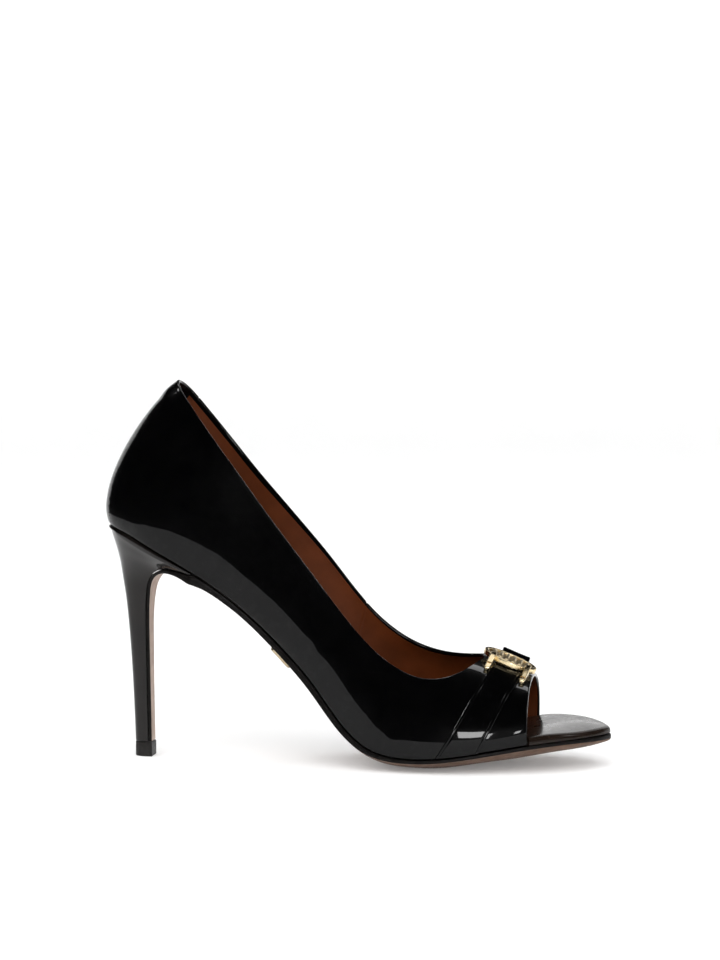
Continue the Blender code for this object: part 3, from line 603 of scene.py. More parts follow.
class Shell:
    """Points and faces of one piece, gathered part by part."""

    def __init__(self):
        self.points = []
        self.faces = []
        self.picks = []
        self.count = 0

    def add(self, points):
        """Take in points and give their numbers in the same layout."""
        points = np.asarray(points, float)
        index = self.count + np.arange(points[..., 0].size).reshape(points.shape[:-1])
        self.points.append(points.reshape(-1, 3))
        self.count += index.size
        return index

    def skin(self, index, pick=0):
        """Faces between neighbouring rows and columns of point numbers."""
        quads = np.stack([index[:-1, :-1], index[1:, :-1], index[1:, 1:], index[:-1, 1:]], axis=-1)
        quads = quads.reshape(-1, 4).tolist()
        self.faces += quads
        self.picks += [pick] * len(quads)

    def cap(self, ring, pick=0):
        """One face over a ring of point numbers."""
        self.faces.append([int(i) for i in ring])
        self.picks.append(pick)

    def stack(self, rings):
        """Rings of points joined into a closed body."""
        index = self.add(rings)
        self.skin(np.hstack([index, index[:, :1]]))
        self.cap(index[0])
        self.cap(index[-1][::-1])

    def piece(self, name, materials, node, sharp):
        """Mesh object in metres that rides on the shoe and stands for a node."""
        points = (np.concatenate(self.points) - SHIFT) * MM
        mesh = bpy.data.meshes.new(name)
        mesh.from_pydata(points.tolist(), [], self.faces)
        for material in materials:
            mesh.materials.append(material)
        mesh.polygons.foreach_set("material_index", self.picks)
        form = bmesh.new()
        form.from_mesh(mesh)
        bmesh.ops.remove_doubles(form, verts=form.verts, dist=MERGE_POINTS)
        bmesh.ops.dissolve_degenerate(form, edges=form.edges, dist=DISSOLVE_EDGES)
        bmesh.ops.recalc_face_normals(form, faces=form.faces)
        form.to_mesh(mesh)
        form.free()
        mesh.shade_smooth()
        mesh.set_sharp_from_angle(angle=math.radians(sharp))
        item = bpy.data.objects.new(name, mesh)
        bpy.context.scene.collection.objects.link(item)
        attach(item, "root")
        if node:
            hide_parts(node)


def stacked_piece(rings, name, material, node, sharp):
    """A piece that is one stack of rings in one material."""
    shell = Shell()
    shell.stack(rings)
    shell.piece(name, [material], node, sharp)


# Upper
def topline_samples(side):
    """Edge distance, profile share and place of the topline from the throat to the back seam."""
    throat = SIGN[side] * t_of_x(THROAT_X)
    t = throat * (1.0 - np.linspace(0.0, 1.0, TOPLINE_SAMPLES) ** 2)
    share = np.linspace(0.0, 1.0, PROFILE_SAMPLES)
    points = last_point(*np.meshgrid(t, share, indexing="ij"))
    over = points[..., 2] - at_place(TOPLINE, side, points[..., 0])
    found = np.empty(len(t))
    for i, line in enumerate(over):
        above = np.nonzero(line >= 0.0)[0]
        k = max(above[0], 1) if len(above) else len(share) - 1
        part = line[k - 1] / (line[k - 1] - line[k]) if line[k] > 0.0 else 1.0
        found[i] = share[k - 1] + part * (share[k] - share[k - 1])
    found[0] = 1.0
    return t, found, last_point(t, found)


def column_places(side):
    """Shares of the way from throat to back where the columns stand, close together at seams."""
    places = [np.linspace(0.0, 1.0, COLLAR_COLS + 1)]
    for seam in SEAMS:
        if seam.side == side:
            places.append(seam.place + SEAM_STEPS / SEAM_RUN)
    places = np.unique(np.round(np.concatenate(places), 5))
    places = places[(places >= 0.0) & (places <= 1.0)]
    apart = np.diff(places, prepend=-1.0) > SEAM_NEAREST / SEAM_RUN
    return places[apart]


def side_columns(side):
    """Start and end of each mesh column of one side from the toe cut to the back, and its seam place."""
    sign = SIGN[side]
    cut_x = TOE_CUT_X if side == "lat" else TOE_CUT_MED_X
    throat = sign * t_of_x(THROAT_X)
    front = np.linspace(sign * t_of_x(cut_x - RIM), throat, VAMP_COLS + 1)
    ridge_x = np.linspace(TOE_CUT_RIDGE_X - RIM, THROAT_X + RIM_AT_THROAT, VAMP_COLS)
    ridge = np.append(sign * t_of_x(ridge_x), throat)
    top_t, top_b, place = topline_samples(side)
    run = run_along(*place.T)
    run /= run[-1]
    places = column_places(side)[1:]
    foot = np.concatenate([front, throat * (1.0 - places)])
    head = np.concatenate([ridge, np.interp(places, run, top_t)])
    share = np.concatenate([np.ones(VAMP_COLS + 1), np.interp(places, run, top_b)])
    place = np.concatenate([np.full(VAMP_COLS + 1, -1.0), places])
    return foot, head, share, place


def seam_groove(place, side):
    """Depth of the seams and dip of the topline at each column."""
    deep = np.zeros_like(place)
    dip = np.zeros_like(place)
    for seam in SEAMS:
        if seam.side == side:
            bell = np.exp(-((place - seam.place) * SEAM_RUN / seam.wide) ** 2)
            deep += seam.deep * bell
            dip += seam.dip * bell
    return deep, dip


def crease_depth(points):
    """Depth of the soft creases at points of the upper."""
    deep = np.zeros(points.shape[:-1])
    for crease in CREASES:
        start = np.array([crease.x0, crease.z0])
        run = np.array([crease.x1, crease.z1]) - start
        off = points[..., [0, 2]] - start
        share = (off @ run) / (run @ run)
        away = np.linalg.norm(off - share[..., None] * run, axis=-1)
        fade = ease(CREASE_ENDS - np.abs(2.0 * share - 1.0))
        side = SIGN[crease.side] * points[..., 1] > 0.0
        deep += np.where(side, crease.deep * np.exp(-(away / crease.wide) ** 2) * fade, 0.0)
    return deep


def rim_rows(edge, normal, ahead):
    """Rounded rim from the outer face to the inner face, without its end points."""
    turn = np.linspace(0.0, math.pi, RIM_STEPS + 1)[1:-1]
    middle = edge - RIM * normal
    arc = np.cos(turn)[:, None] * normal[:, None, :] + np.sin(turn)[:, None] * ahead[:, None, :]
    return middle[:, None, :] + RIM * arc


def row_speed(foot, head, share, low, high):
    """Millimetres of wall for one whole column, measured between two row places."""
    ends = [last_point(foot + at * (head - foot), at * share) for at in (low, high)]
    return (np.linalg.norm(ends[1] - ends[0], axis=-1) / (high - low))[:, None]


def wall_rows(foot, head, share, place):
    """Row places up each column, close together over the foot and under the topline."""
    grow = ease((place - TURNED_FROM) / (TURNED_FULL - TURNED_FROM))[:, None]
    band = TURNED_BAND + (TURNED_BAND_BACK - TURNED_BAND) * grow
    low = FOOT_ROLL * FOOT_STEPS / row_speed(foot, head, share, 0.0, ROW_SPAN)
    top_speed = row_speed(foot, head, share, 1.0 - ROW_SPAN, 1.0)
    near = 1.0 - (RIM + band * TURNED_STEPS) / top_speed
    last = 1.0 - (RIM + TURNED_LEAD * band) / top_speed
    start = low[:, -1:]
    collar = start + (last - start) * np.linspace(0.0, 1.0, WALL_ROWS - 2)[1:]
    rows = np.hstack([low, collar, near])
    plain = np.hstack([low, start + (1.0 - start) * np.linspace(0.0, 1.0, WALL_ROWS + 1)[1:]])
    for vamp in (slice(0, VAMP_COLS), slice(len(rows) - VAMP_COLS, None)):
        rows[vamp] = plain[vamp]
    return rows


def foot_roll():
    """How far the foot of the wall turns in at its first rows."""
    return FOOT_ROLL * (1.0 - arch(1.0 - FOOT_STEPS))


def collar_roll(points, top, place):
    """Padded roll round the back just under the topline."""
    down = np.linalg.norm(points - top[:, None], axis=-1)
    across = np.exp(-((1.0 - place) / COLLAR_ROLL_RUN) ** 2)
    return COLLAR_ROLL * across[:, None] * np.exp(-((down - COLLAR_ROLL_DOWN) / COLLAR_ROLL_WIDE) ** 2)


def level_inward(normal):
    """The inward direction laid level, for the foot of the wall."""
    return unit(-normal * np.array([1.0, 1.0, 0.0]))


def upper_piece(patent, lining):
    """Hollow wall with rounded rims, patent outside and lined inside."""
    lat = side_columns("lat")
    med = side_columns("med")
    foot, head, share, place = (np.concatenate([a, b[::-1][1:]]) for a, b in zip(lat, med))
    lat_groove = seam_groove(lat[3], "lat")
    med_groove = seam_groove(med[3], "med")
    groove, dip = (np.concatenate([a, b[::-1][1:]]) for a, b in zip(lat_groove, med_groove))
    rows = wall_rows(foot, head, share, place)
    t = foot[:, None] + (head - foot)[:, None] * rows
    b = share[:, None] * rows
    normal = last_normal(t, b)
    outer = last_point(t, b)
    sink = groove[:, None] + crease_depth(outer) - collar_roll(outer, last_point(head, share), place)
    outer -= sink[..., None] * normal
    inner = outer - WALL * normal
    inner[:, 0] = outer[:, 0] + WALL * level_inward(normal[:, 0])
    outer[:, :len(FOOT_STEPS)] -= foot_roll()[:, None] * normal[:, :len(FOOT_STEPS)]
    cols = len(foot)
    collar = slice(VAMP_COLS, cols - VAMP_COLS)

    top = last_point(head, share)[collar]
    top_normal = last_normal(head, share)[collar]
    top_normal[[0, -1]] = unit(top_normal[0] + top_normal[-1])
    along = np.roll(top[:-1], -1, axis=0) - np.roll(top[:-1], 1, axis=0)
    along = np.vstack([along, along[:1]])
    rise = unit(np.cross(along, top_normal))
    rise *= np.sign(np.sum(rise[:, 2]))
    edge = top - (RIM + dip[collar])[:, None] * rise
    outer[collar, -1] = edge
    inner[collar, -1] = edge - WALL * top_normal
    for face in (outer, inner):
        face[cols - VAMP_COLS:, -1] = face[VAMP_COLS - 1::-1, -1]

    shell = Shell()
    out = shell.add(outer)
    ins = shell.add(inner)
    rim = shell.add(rim_rows(edge, top_normal, rise))
    shell.skin(out)
    shell.skin(np.hstack([out[collar, -1:], rim, ins[collar, -1:]]))
    back = np.nonzero(place > BACK_BAND_FROM)[0]
    before = slice(VAMP_COLS, back[0] + 1)
    after = slice(back[-1], cols - VAMP_COLS)
    shell.skin(ins[:, :1 - BACK_BAND_ROWS], 1)
    shell.skin(ins[back[0]:back[-1] + 1, -BACK_BAND_ROWS:])
    for side in (before, after):
        shell.skin(ins[side, -BACK_BAND_ROWS:-2], 1)
        shell.skin(ins[side, -3:])
    shell.skin(ins[:VAMP_COLS + 1, -BACK_BAND_ROWS:], 1)
    shell.skin(ins[cols - VAMP_COLS - 1:, -BACK_BAND_ROWS:], 1)
    shell.skin(np.stack([out[:, 0], ins[:, 0]], axis=1))

    cut_out, cut_in, cut_edge, cut_normal = (
        np.concatenate([grid[0], grid[-1, -2::-1]]) for grid in (out, ins, outer, normal))
    ahead = unit(np.cross(np.gradient(cut_edge, axis=0), cut_normal))
    ahead *= np.sign(np.sum(ahead[:, 0]))
    cut_rim = np.hstack([cut_out[:, None], shell.add(rim_rows(cut_edge, cut_normal, ahead)), cut_in[:, None]])
    shell.skin(cut_rim)
    shell.cap(cut_rim[0])
    shell.cap(cut_rim[-1][::-1])
    shell.piece("upper_patent", [patent, lining], "upper", 75.0)


# Strap
def over_wall(share, sign, place, height):
    """Points over the outer face of the upper."""
    t = sign[:, None] * t_of_x(place)
    b = np.broadcast_to(share[:, None], t.shape)
    return last_point(t, b) + height[..., None] * last_normal(t, b)


def rounded_band(wide, high, low, radius, across):
    """Runs and heights of a band's section: up one folded side, over and down, then back underneath."""
    turn = quarter_turn(ROUND_STEPS)
    run_in = np.concatenate([radius * (1.0 - np.cos(turn)), GROOVE_IN + GROOVE_WIDE * GROOVE_RUN])
    over = high + np.concatenate([radius * (np.sin(turn) - 1.0), -GROOVE_DEEP * GROOVE_SINK])
    middle = np.linspace(run_in[-1], wide - run_in[-1], across)[1:-1]
    run = np.concatenate([[0.0], run_in, middle, wide - run_in[::-1], [wide]])
    height = np.concatenate([[low], over, np.full(len(middle), high), over[::-1], [low]])
    under = np.linspace(wide, 0.0, STRAP_UNDER)[1:-1]
    return np.concatenate([run, under]), np.concatenate([height, np.full(len(under), low)])


def side_by_side(sections):
    """Runs and heights of many sections, each as one grid."""
    return (np.array(part) for part in zip(*sections))


def fold_rise(share, sign):
    """Extra height where the inner side of the strap climbs to the far rim of the ring."""
    slope = ease((share - FOLD_TO) / (FOLD_FULL - FOLD_TO))
    nose = np.clip((FOLD_FROM + 0.5 * FOLD_NOSE - share) / FOLD_NOSE, 0.0, 1.0)
    return np.where(sign > 0.0, FOLD_TALL * slope * np.sqrt(nose), 0.0)


def strap_piece(patent):
    """Band over the vamp from one feather edge to the other, doubled below the buckle."""
    plain = np.linspace(STRAP_END, 1.0, STRAP_ROWS + 1)
    step = DOUBLE_FROM + DOUBLE_RUN * np.linspace(-0.5, 0.5, DOUBLE_STEPS)
    nose = FOLD_FROM + FOLD_NOSE * np.linspace(-0.5, 0.5, NOSE_STEPS)
    rise = np.unique(np.concatenate([plain, step]))
    fall = np.unique(np.concatenate([plain[:-1], nose]))[::-1]
    share = np.concatenate([rise, fall])
    sign = np.concatenate([-np.ones(len(rise)), np.ones(len(fall))])
    back = at_place(STRAP, "back", share)
    wide = at_place(STRAP, "front", share) - back
    full = np.clip((share - STRAP_END) / STRAP_SKIVE, 0.0, 1.0)
    high = GAP + STRAP_FOOT + (STRAP_THICK - STRAP_FOOT) * full + fold_rise(share, sign)
    doubled = ease((share - DOUBLE_FROM) / DOUBLE_RUN + 0.5)
    high += np.where(sign < 0.0, STRAP_DOUBLE * doubled, STRAP_DOUBLE * (share > FOLD_FROM))
    run, height = side_by_side(
        rounded_band(w, h, STRAP_LOW, STRAP_ROUND, STRAP_ACROSS) for w, h in zip(wide, high))
    rings = over_wall(share, sign, back[:, None] + run, height)
    stacked_piece(rings, "strap_patent", patent, "vamp_strap", 60.0)


# Buckle
def ridge_frame():
    """Origin and directions of the ring plane on the ridge of the vamp."""
    t = np.array([-t_of_x(RING_X)])
    share = np.array([RING_SHARE])
    origin = last_point(t, share)[0]
    up = last_normal(t, share)[0]
    side = unit(np.cross(up, [1.0, 0.0, 0.0]))
    return origin, np.cross(side, up), side, up


def on_ridge(points):
    """Points given along, across and over the ridge plane."""
    origin, ahead, side, up = ridge_frame()
    points = np.asarray(points, float)
    return origin + points[..., :1] * ahead + points[..., 1:2] * side + points[..., 2:] * up


def rounded_box(wide, low, high, radius):
    """Section of a cast bar: a box with rounded corners, as runs and heights."""
    turn = quarter_turn(ROUND_STEPS)
    corners = [(radius, low + radius, math.pi), (wide - radius, low + radius, 1.5 * math.pi),
               (wide - radius, high - radius, 0.0), (radius, high - radius, 0.5 * math.pi)]
    run = np.concatenate([x + radius * np.cos(start + turn) for x, _, start in corners])
    height = np.concatenate([z + radius * np.sin(start + turn) for _, z, start in corners])
    return run, height


def ring_points():
    """Oval ring standing on the strap."""
    angle = np.linspace(0.0, 2.0 * math.pi, RING_STEPS + 1)
    inward, over = rounded_box(RING_BAND, RING_LIFT, RING_LIFT + RING_TALL, RING_ROUND)
    along = np.outer(np.cos(angle), RING_LONG - inward)
    across = np.outer(np.sin(angle), RING_WIDE - inward)
    return on_ridge(xyz(along, across, over))


def bar_points(bar):
    """Buckle bar along one edge of the strap, over the near rim of the ring, with a slot near its foot."""
    notch = bar.end + NOTCH_UP + NOTCH_WIDE * NOTCH_STEPS
    bend = 1.0 - np.cos(quarter_turn(BAR_BEND_STEPS))
    plain = np.linspace(bar.end + BAR_TOE, bar.top - BAR_TOE, BAR_ROWS)
    share = np.unique(np.concatenate([plain, notch, bar.end + BAR_TOE * bend, bar.top - BAR_TOE * bend]))
    sign = -np.ones(len(share))
    from_end = np.clip(np.minimum(share - bar.end, bar.top - share) / BAR_TOE, 0.0, 1.0)
    round_off = 1.0 - arch(1.0 - from_end)
    from_notch = np.abs(share - bar.end - NOTCH_UP) / NOTCH_WIDE
    in_notch = ease((NOTCH_OUT - from_notch) / NOTCH_SLOPE)
    climb = ease((share - bar.end) / (bar.top - BAR_FLAT - bar.end))
    full = bar.high + (bar.over - bar.high) * climb
    high = full - np.minimum(full - bar.low - BAR_LEAST, BAR_DROP) * round_off - NOTCH_DEEP * in_notch
    wide = bar.far - bar.near
    run, height = side_by_side(rounded_box(wide, bar.low, h, BAR_ROUND) for h in high)
    run += (0.5 * wide - run) * BAR_TAPER * round_off[:, None]
    return over_wall(share, sign, at_place(STRAP, bar.edge, share)[:, None] + bar.near + run, height)


def buckle_piece(gold):
    """Cast ring with its two side bars."""
    shell = Shell()
    ring = shell.add(ring_points())
    shell.skin(np.hstack([ring, ring[:, :1]]))
    for bar in BARS:
        shell.stack(bar_points(bar))
    shell.piece("buckle_cast", [gold], "buckle", 40.0)


def plaque_piece(gold):
    """Ribbed oval plaque inside the ring."""
    long = RING_LONG - RING_BAND - PLAQUE_GAP
    wide = RING_WIDE - RING_BAND - PLAQUE_GAP
    face = PLAQUE_LIFT + PLAQUE_TALL
    place = PLAQUE_END * side_to_side(PLAQUE_ROWS)
    rib = np.zeros_like(place)
    for middle in np.linspace(-RIB_SPREAD, RIB_SPREAD, PLAQUE_RIBS):
        rib = np.maximum(rib, arch((place - middle) / RIB_FOOT))
    across = side_to_side(PLAQUE_ACROSS)
    fade = arch(across, PLAQUE_EDGE_POWER)
    half = wide * arch(place)
    x = (place * long)[:, None]
    y = half[:, None] * across
    top = face - PLAQUE_EDGE + (PLAQUE_EDGE + RIB_TALL * rib[:, None]) * fade
    under = xyz(x, y, PLAQUE_LIFT)[:, ::-PLAQUE_UNDER_EVERY]
    rings = on_ridge(np.concatenate([xyz(x, y, top), under], axis=1))
    stacked_piece(rings, "plaque_ribbed", gold, "buckle_plaque", 50.0)


# Sole, insole and sock
def sole_sections(t):
    """Edges, lean, edge thickness and middle thickness of the sole at places along its edge."""
    x, _, _, lean = bottom_at(t)
    left, right = outline_at(t, SOLE_INSET)
    return left, right, lean, at_place(SOLE, "edge", x), at_place(SOLE, "depth", x)


def breast_rows(count):
    """The breast table drawn out smoothly from the tip to the waist."""
    run = run_along(column(BREAST, "x"), column(BREAST, "z"))
    at = np.linspace(run[-1], 0.0, count)
    return Breast(*(spline(run, column(BREAST, name), at) for name in Breast._fields))


def sole_ring(lat, med, up, edge, depth):
    """One section of the sole: top, rounded inner edge, domed bottom and rounded outer edge."""
    share = np.linspace(0.0, 1.0, SOLE_ACROSS + 1)
    dome = 1.0 - np.abs(2.0 * share - 1.0) ** SOLE_DOME_POWER
    wide = max(np.linalg.norm(med - lat), 1e-6)
    corner = min(SOLE_CORNER / wide, SOLE_CORNER_MOST)
    inner = corner + (1.0 - 2.0 * corner) * share
    turn = quarter_turn(ROUND_STEPS)[1:-1]
    lift = SOLE_CORNER * (1.0 - np.cos(turn))
    side = corner * (1.0 - np.sin(turn))
    run = np.concatenate([inner, 1.0 - side, [1.0], 1.0 - side[::-1], inner[::-1],
                          side, [0.0], side[::-1]])
    down = np.concatenate([np.zeros_like(inner), lift, [0.5 * edge], edge - lift[::-1],
                           (edge + (depth - edge) * dome)[::-1], edge - lift, [0.5 * edge], lift[::-1]])
    ring = lat + (med - lat) * run[:, None] - up * down[:, None]
    ring[:, 2] = np.maximum(ring[:, 2], 0.0)
    return ring


def away_from_edge(points, t):
    """Plan distance of points from the edge of the sole."""
    left, right = outline_at(np.linspace(t[0], t[-1], OUTLINE_SAMPLES), SOLE_INSET)
    line = np.concatenate([left, right[::-1]])[:, :2]
    flat = points.reshape(-1, 3)[:, :2]
    found = np.empty(len(flat))
    for start in range(0, len(flat), BATCH):
        part = slice(start, start + BATCH)
        found[part] = np.sqrt(((flat[part, None] - line) ** 2).sum(axis=-1).min(axis=1))
    return found.reshape(points.shape[:-1])


def round_toe(rings, t):
    """Round off both corners of the sole edge round the toe."""
    x, _, _, _ = bottom_at(t)
    edge = at_place(SOLE, "edge", x)
    radius = (TOE_ROUND * edge * ease((x - TOE_ROUND_FROM_X) / TOE_ROUND_RUN))[:, None]
    inside = np.maximum(radius - away_from_edge(rings, t), 0.0)
    turns = ROUND_STEPS - 2
    flat = SOLE_ACROSS + 1
    face = np.repeat([-1.0, 0.0, 1.0, 0.0, -1.0], [flat + turns, 1, flat + 2 * turns, 1, turns])
    rings[..., 2] += face * (radius - np.sqrt(radius ** 2 - inside ** 2))


def outsole_piece(leather, edge_paint):
    """Sole from the foot of the heel flap to the toe, with a painted edge."""
    flap = breast_rows(FLAP_ROWS)
    rings = []
    for x, z, lean, thick, half in zip(flap.x, flap.z, flap.lean, flap.flap, flap.half):
        lat = np.array([x, SOLE_INSET - half, z])
        med = np.array([x, half - SOLE_INSET, z])
        rings.append(sole_ring(lat, med, up_of(math.radians(lean)), thick, thick))
    start = t_of_x(STEP_BACK_X)
    run = np.linspace(0.0, 1.0, SOLE_ROWS)
    t = start + (EDGE_LENGTH - start) * (1.0 - (1.0 - run) ** SOLE_TOE_BUNCH)
    for lat, med, lean, edge, depth in zip(*sole_sections(t)):
        up = up_of(lean)
        rings.append(sole_ring(lat - GAP * up, med - GAP * up, up, edge, depth))
    rings = np.array(rings)
    toe = bottom_at(t)[0] > TOE_ROUND_FROM_X
    first = FLAP_ROWS + np.nonzero(toe)[0][0]
    round_toe(rings[first:], t[toe])
    shell = Shell()
    index = shell.add(rings)
    turns = ROUND_STEPS - 2
    bottom = SOLE_ACROSS + 1 + 2 * turns + 1
    last = bottom + SOLE_ACROSS
    shell.skin(index[:, :bottom + 1], 1)
    shell.skin(index[:, bottom:last + 1])
    shell.skin(np.hstack([index[:, last:], index[:, :1]]), 1)
    shell.cap(index[0], 1)
    shell.cap(index[-1][::-1], 1)
    shell.piece("outsole_leather", [leather, edge_paint], "outsole", 55.0)


def bed_rings(t, inset, low, tall, radius, across):
    """Sections of a crowned layer with a rounded upper edge that follows the outline."""
    turn = quarter_turn(ROUND_STEPS + 2)
    sides = [outline_at(t, inset + radius * (1.0 - math.cos(angle))) for angle in turn]
    left = np.stack([side[0] for side in sides], axis=1)
    right = np.stack([side[1] for side in sides], axis=1)
    share = np.linspace(0.0, 1.0, across - 2 * len(turn) + 2)[1:-1]
    inside = left[:, -1:] + (right - left)[:, -1:] * share[:, None]
    x, _, _, lean = bottom_at(t)
    wide = np.linalg.norm((right - left)[:, -1], axis=-1)
    crown = (ease((x - CROWN_FROM_X) / CROWN_RUN) * ease(wide / CROWN_WIDE))[:, None]
    side = 2.0 * share - 1.0
    up = up_of(lean)[:, None]
    edge = tall[:, None] - radius * (1.0 - np.sin(turn))
    left += up * (edge - CROWN_LEAN * crown)[..., None]
    right += up * (edge + CROWN_LEAN * crown)[..., None]
    inside += up * (tall[:, None] + crown * (CROWN_LEAN * side + CROWN * (1.0 - side ** 2)))[..., None]
    top = np.concatenate([left, inside, right[:, ::-1]], axis=1)
    under = np.stack(outline_at(t, inset), axis=1) + up * low[:, None, None]
    return np.concatenate([under, top[:, ::-1]], axis=1)


def insole_piece(patent):
    """Footbed inside the wall, wrapped in patent, out to the toe."""
    cut = t_of_x(TOE_CUT_X + GAP)
    wide = t_of_x(TOE_CUT_X + INSOLE_STEP)
    back = cut * np.linspace(0.0, 1.0, INSOLE_BACK_ROWS) ** INSOLE_HEEL_BUNCH
    run = np.linspace(0.0, 1.0, INSOLE_TOE_ROWS)
    toe = wide + (EDGE_LENGTH - wide) * (1.0 - (1.0 - run) ** INSOLE_TOE_BUNCH)
    t = np.concatenate([back, toe])
    inset = np.concatenate([np.full(len(back), WALL + FIT_GAP), np.full(len(toe), INSOLE_TOE_INSET)])
    tall = at_place(INSOLE, "tall", bottom_at(t)[0])
    rings = bed_rings(t, inset, np.zeros_like(t), tall, INSOLE_EDGE_ROUND, INSOLE_ACROSS)
    stacked_piece(rings, "insole_patent", patent, "insole", 55.0)


def sock_piece(leather):
    """Thin leather sock on the footbed, from the heel to behind the toe opening."""
    t = t_of_x(SOCK_TO_X) * np.linspace(0.0, 1.0, INSOLE_BACK_ROWS) ** INSOLE_HEEL_BUNCH
    inset = np.full(len(t), SOCK_INSET)
    low = at_place(INSOLE, "tall", bottom_at(t)[0])
    rings = bed_rings(t, inset, low, low + SOCK_THICK, SOCK_ROUND, INSOLE_ACROSS)
    stacked_piece(rings, "sock_leather", leather, None, 55.0)


def plate_piece(gold):
    """Plain plate with rounded corners on the underside of the waist."""
    t = np.linspace(t_of_x(PLATE_FROM_X), t_of_x(PLATE_TO_X), PLATE_ROWS)
    left, right, lean, edge, depth = sole_sections(t)
    along = np.linspace(-1.0, 1.0, len(t))
    half = PLATE_HALF * np.clip(1.0 - np.abs(along) ** PLATE_CORNER, 0.0, 1.0) ** (1.0 / PLATE_CORNER)
    half = np.maximum(half, PLATE_LEAST * PLATE_HALF)
    side = side_to_side(PLATE_ACROSS)
    bevel = PLATE_ROUND * (1.0 - arch(side, PLATE_SIDE_BEVEL))
    bevel_ends = PLATE_ROUND * (1.0 - arch(along, PLATE_END_BEVEL))
    rings = []
    for i in range(len(t)):
        y = half[i] * side
        share = 2.0 * y / np.linalg.norm(right[i] - left[i])
        dome = 1.0 - np.abs(share) ** SOLE_DOME_POWER
        low = GAP + edge[i] + (depth[i] - edge[i]) * dome
        base = 0.5 * (left[i] + right[i]) + np.outer(y, [0.0, 1.0, 0.0])
        up = up_of(lean[i])
        face = low + GAP + PLATE_THICK - bevel - bevel_ends[i]
        rings.append(np.concatenate([base - up * low[:, None], (base - up * face[:, None])[::-1]]))
    stacked_piece(np.array(rings), "plate_bare", gold, "sole_plate", 50.0)


# Heel
def heel_ring(row, angle, seat_side):
    """One side of a heel ring from the back to the front corner."""
    run = 1.0 - np.cos(angle)
    round_side = row.half * np.sin(angle)
    seat = row.half * seat_side / max(seat_side)
    y = (1.0 - row.seat) * round_side + row.seat * seat
    front = np.array([row.x, 0.0, row.z]) + GAP * up_of(math.radians(row.lean))
    x = row.back_x + (front[0] - row.back_x) * run
    z = row.back_z + (front[2] - row.back_z) * run
    return xyz(x, y, z)


def heel_piece(cover):
    """Slim covered heel that opens into the cup under the heel seat."""
    angle = quarter_turn(HEEL_HALF + 1)
    start = BOTTOM[0].x
    seat_t = t_of_x(start + (SEAT_FRONT_X - start) * (1.0 - np.cos(angle)))
    sides = outline_at(seat_t, SOLE_INSET)
    bevel = HEEL_BEVEL * np.maximum(np.cos(angle), HEEL_BEVEL_LEAST)
    top_sides = outline_at(seat_t, SOLE_INSET + bevel)
    up = up_of(bottom_at(seat_t)[3])
    rings = []
    for values in zip(*breast_rows(HEEL_ROWS)):
        row = Breast(*values)
        lat = heel_ring(row, angle, np.abs(sides[0][:, 1]))
        med = heel_ring(row, angle, np.abs(sides[1][:, 1]))
        lat[:, 1] *= -1.0
        rings.append(np.concatenate([lat, med[:0:-1]]))
    for edge, turn in zip(BEVEL_EDGE, BEVEL_DOWN):
        seat = [side + edge * (top - side) - (GAP + turn * bevel[:, None]) * up
                for side, top in zip(sides, top_sides)]
        rings.append(np.concatenate([seat[0], seat[1][:0:-1]]))
    stacked_piece(np.array(rings), "heel_covered", cover, "heel", 50.0)


def tip_piece(rubber):
    """Wear piece under the heel, round at the back and flat at the front."""
    angle = np.linspace(-0.5 * math.pi, 0.5 * math.pi, 2 * TIP_HALF + 1)
    rings = []
    for row in TIP:
        x = row.back + (row.front - row.back) * (1.0 - np.cos(angle) ** TIP_ROUND)
        rings.append(xyz(x, row.half * np.sin(angle), row.z))
    stacked_piece(np.array(rings), "tip_rubber", rubber, "heel_tip", 40.0)


# Materials, with the places where the sole leather goes over into its painted shade under the foot
SOLE_SHADE_FROM_X = 30.0
SOLE_SHADE_FULL_X = 95.0


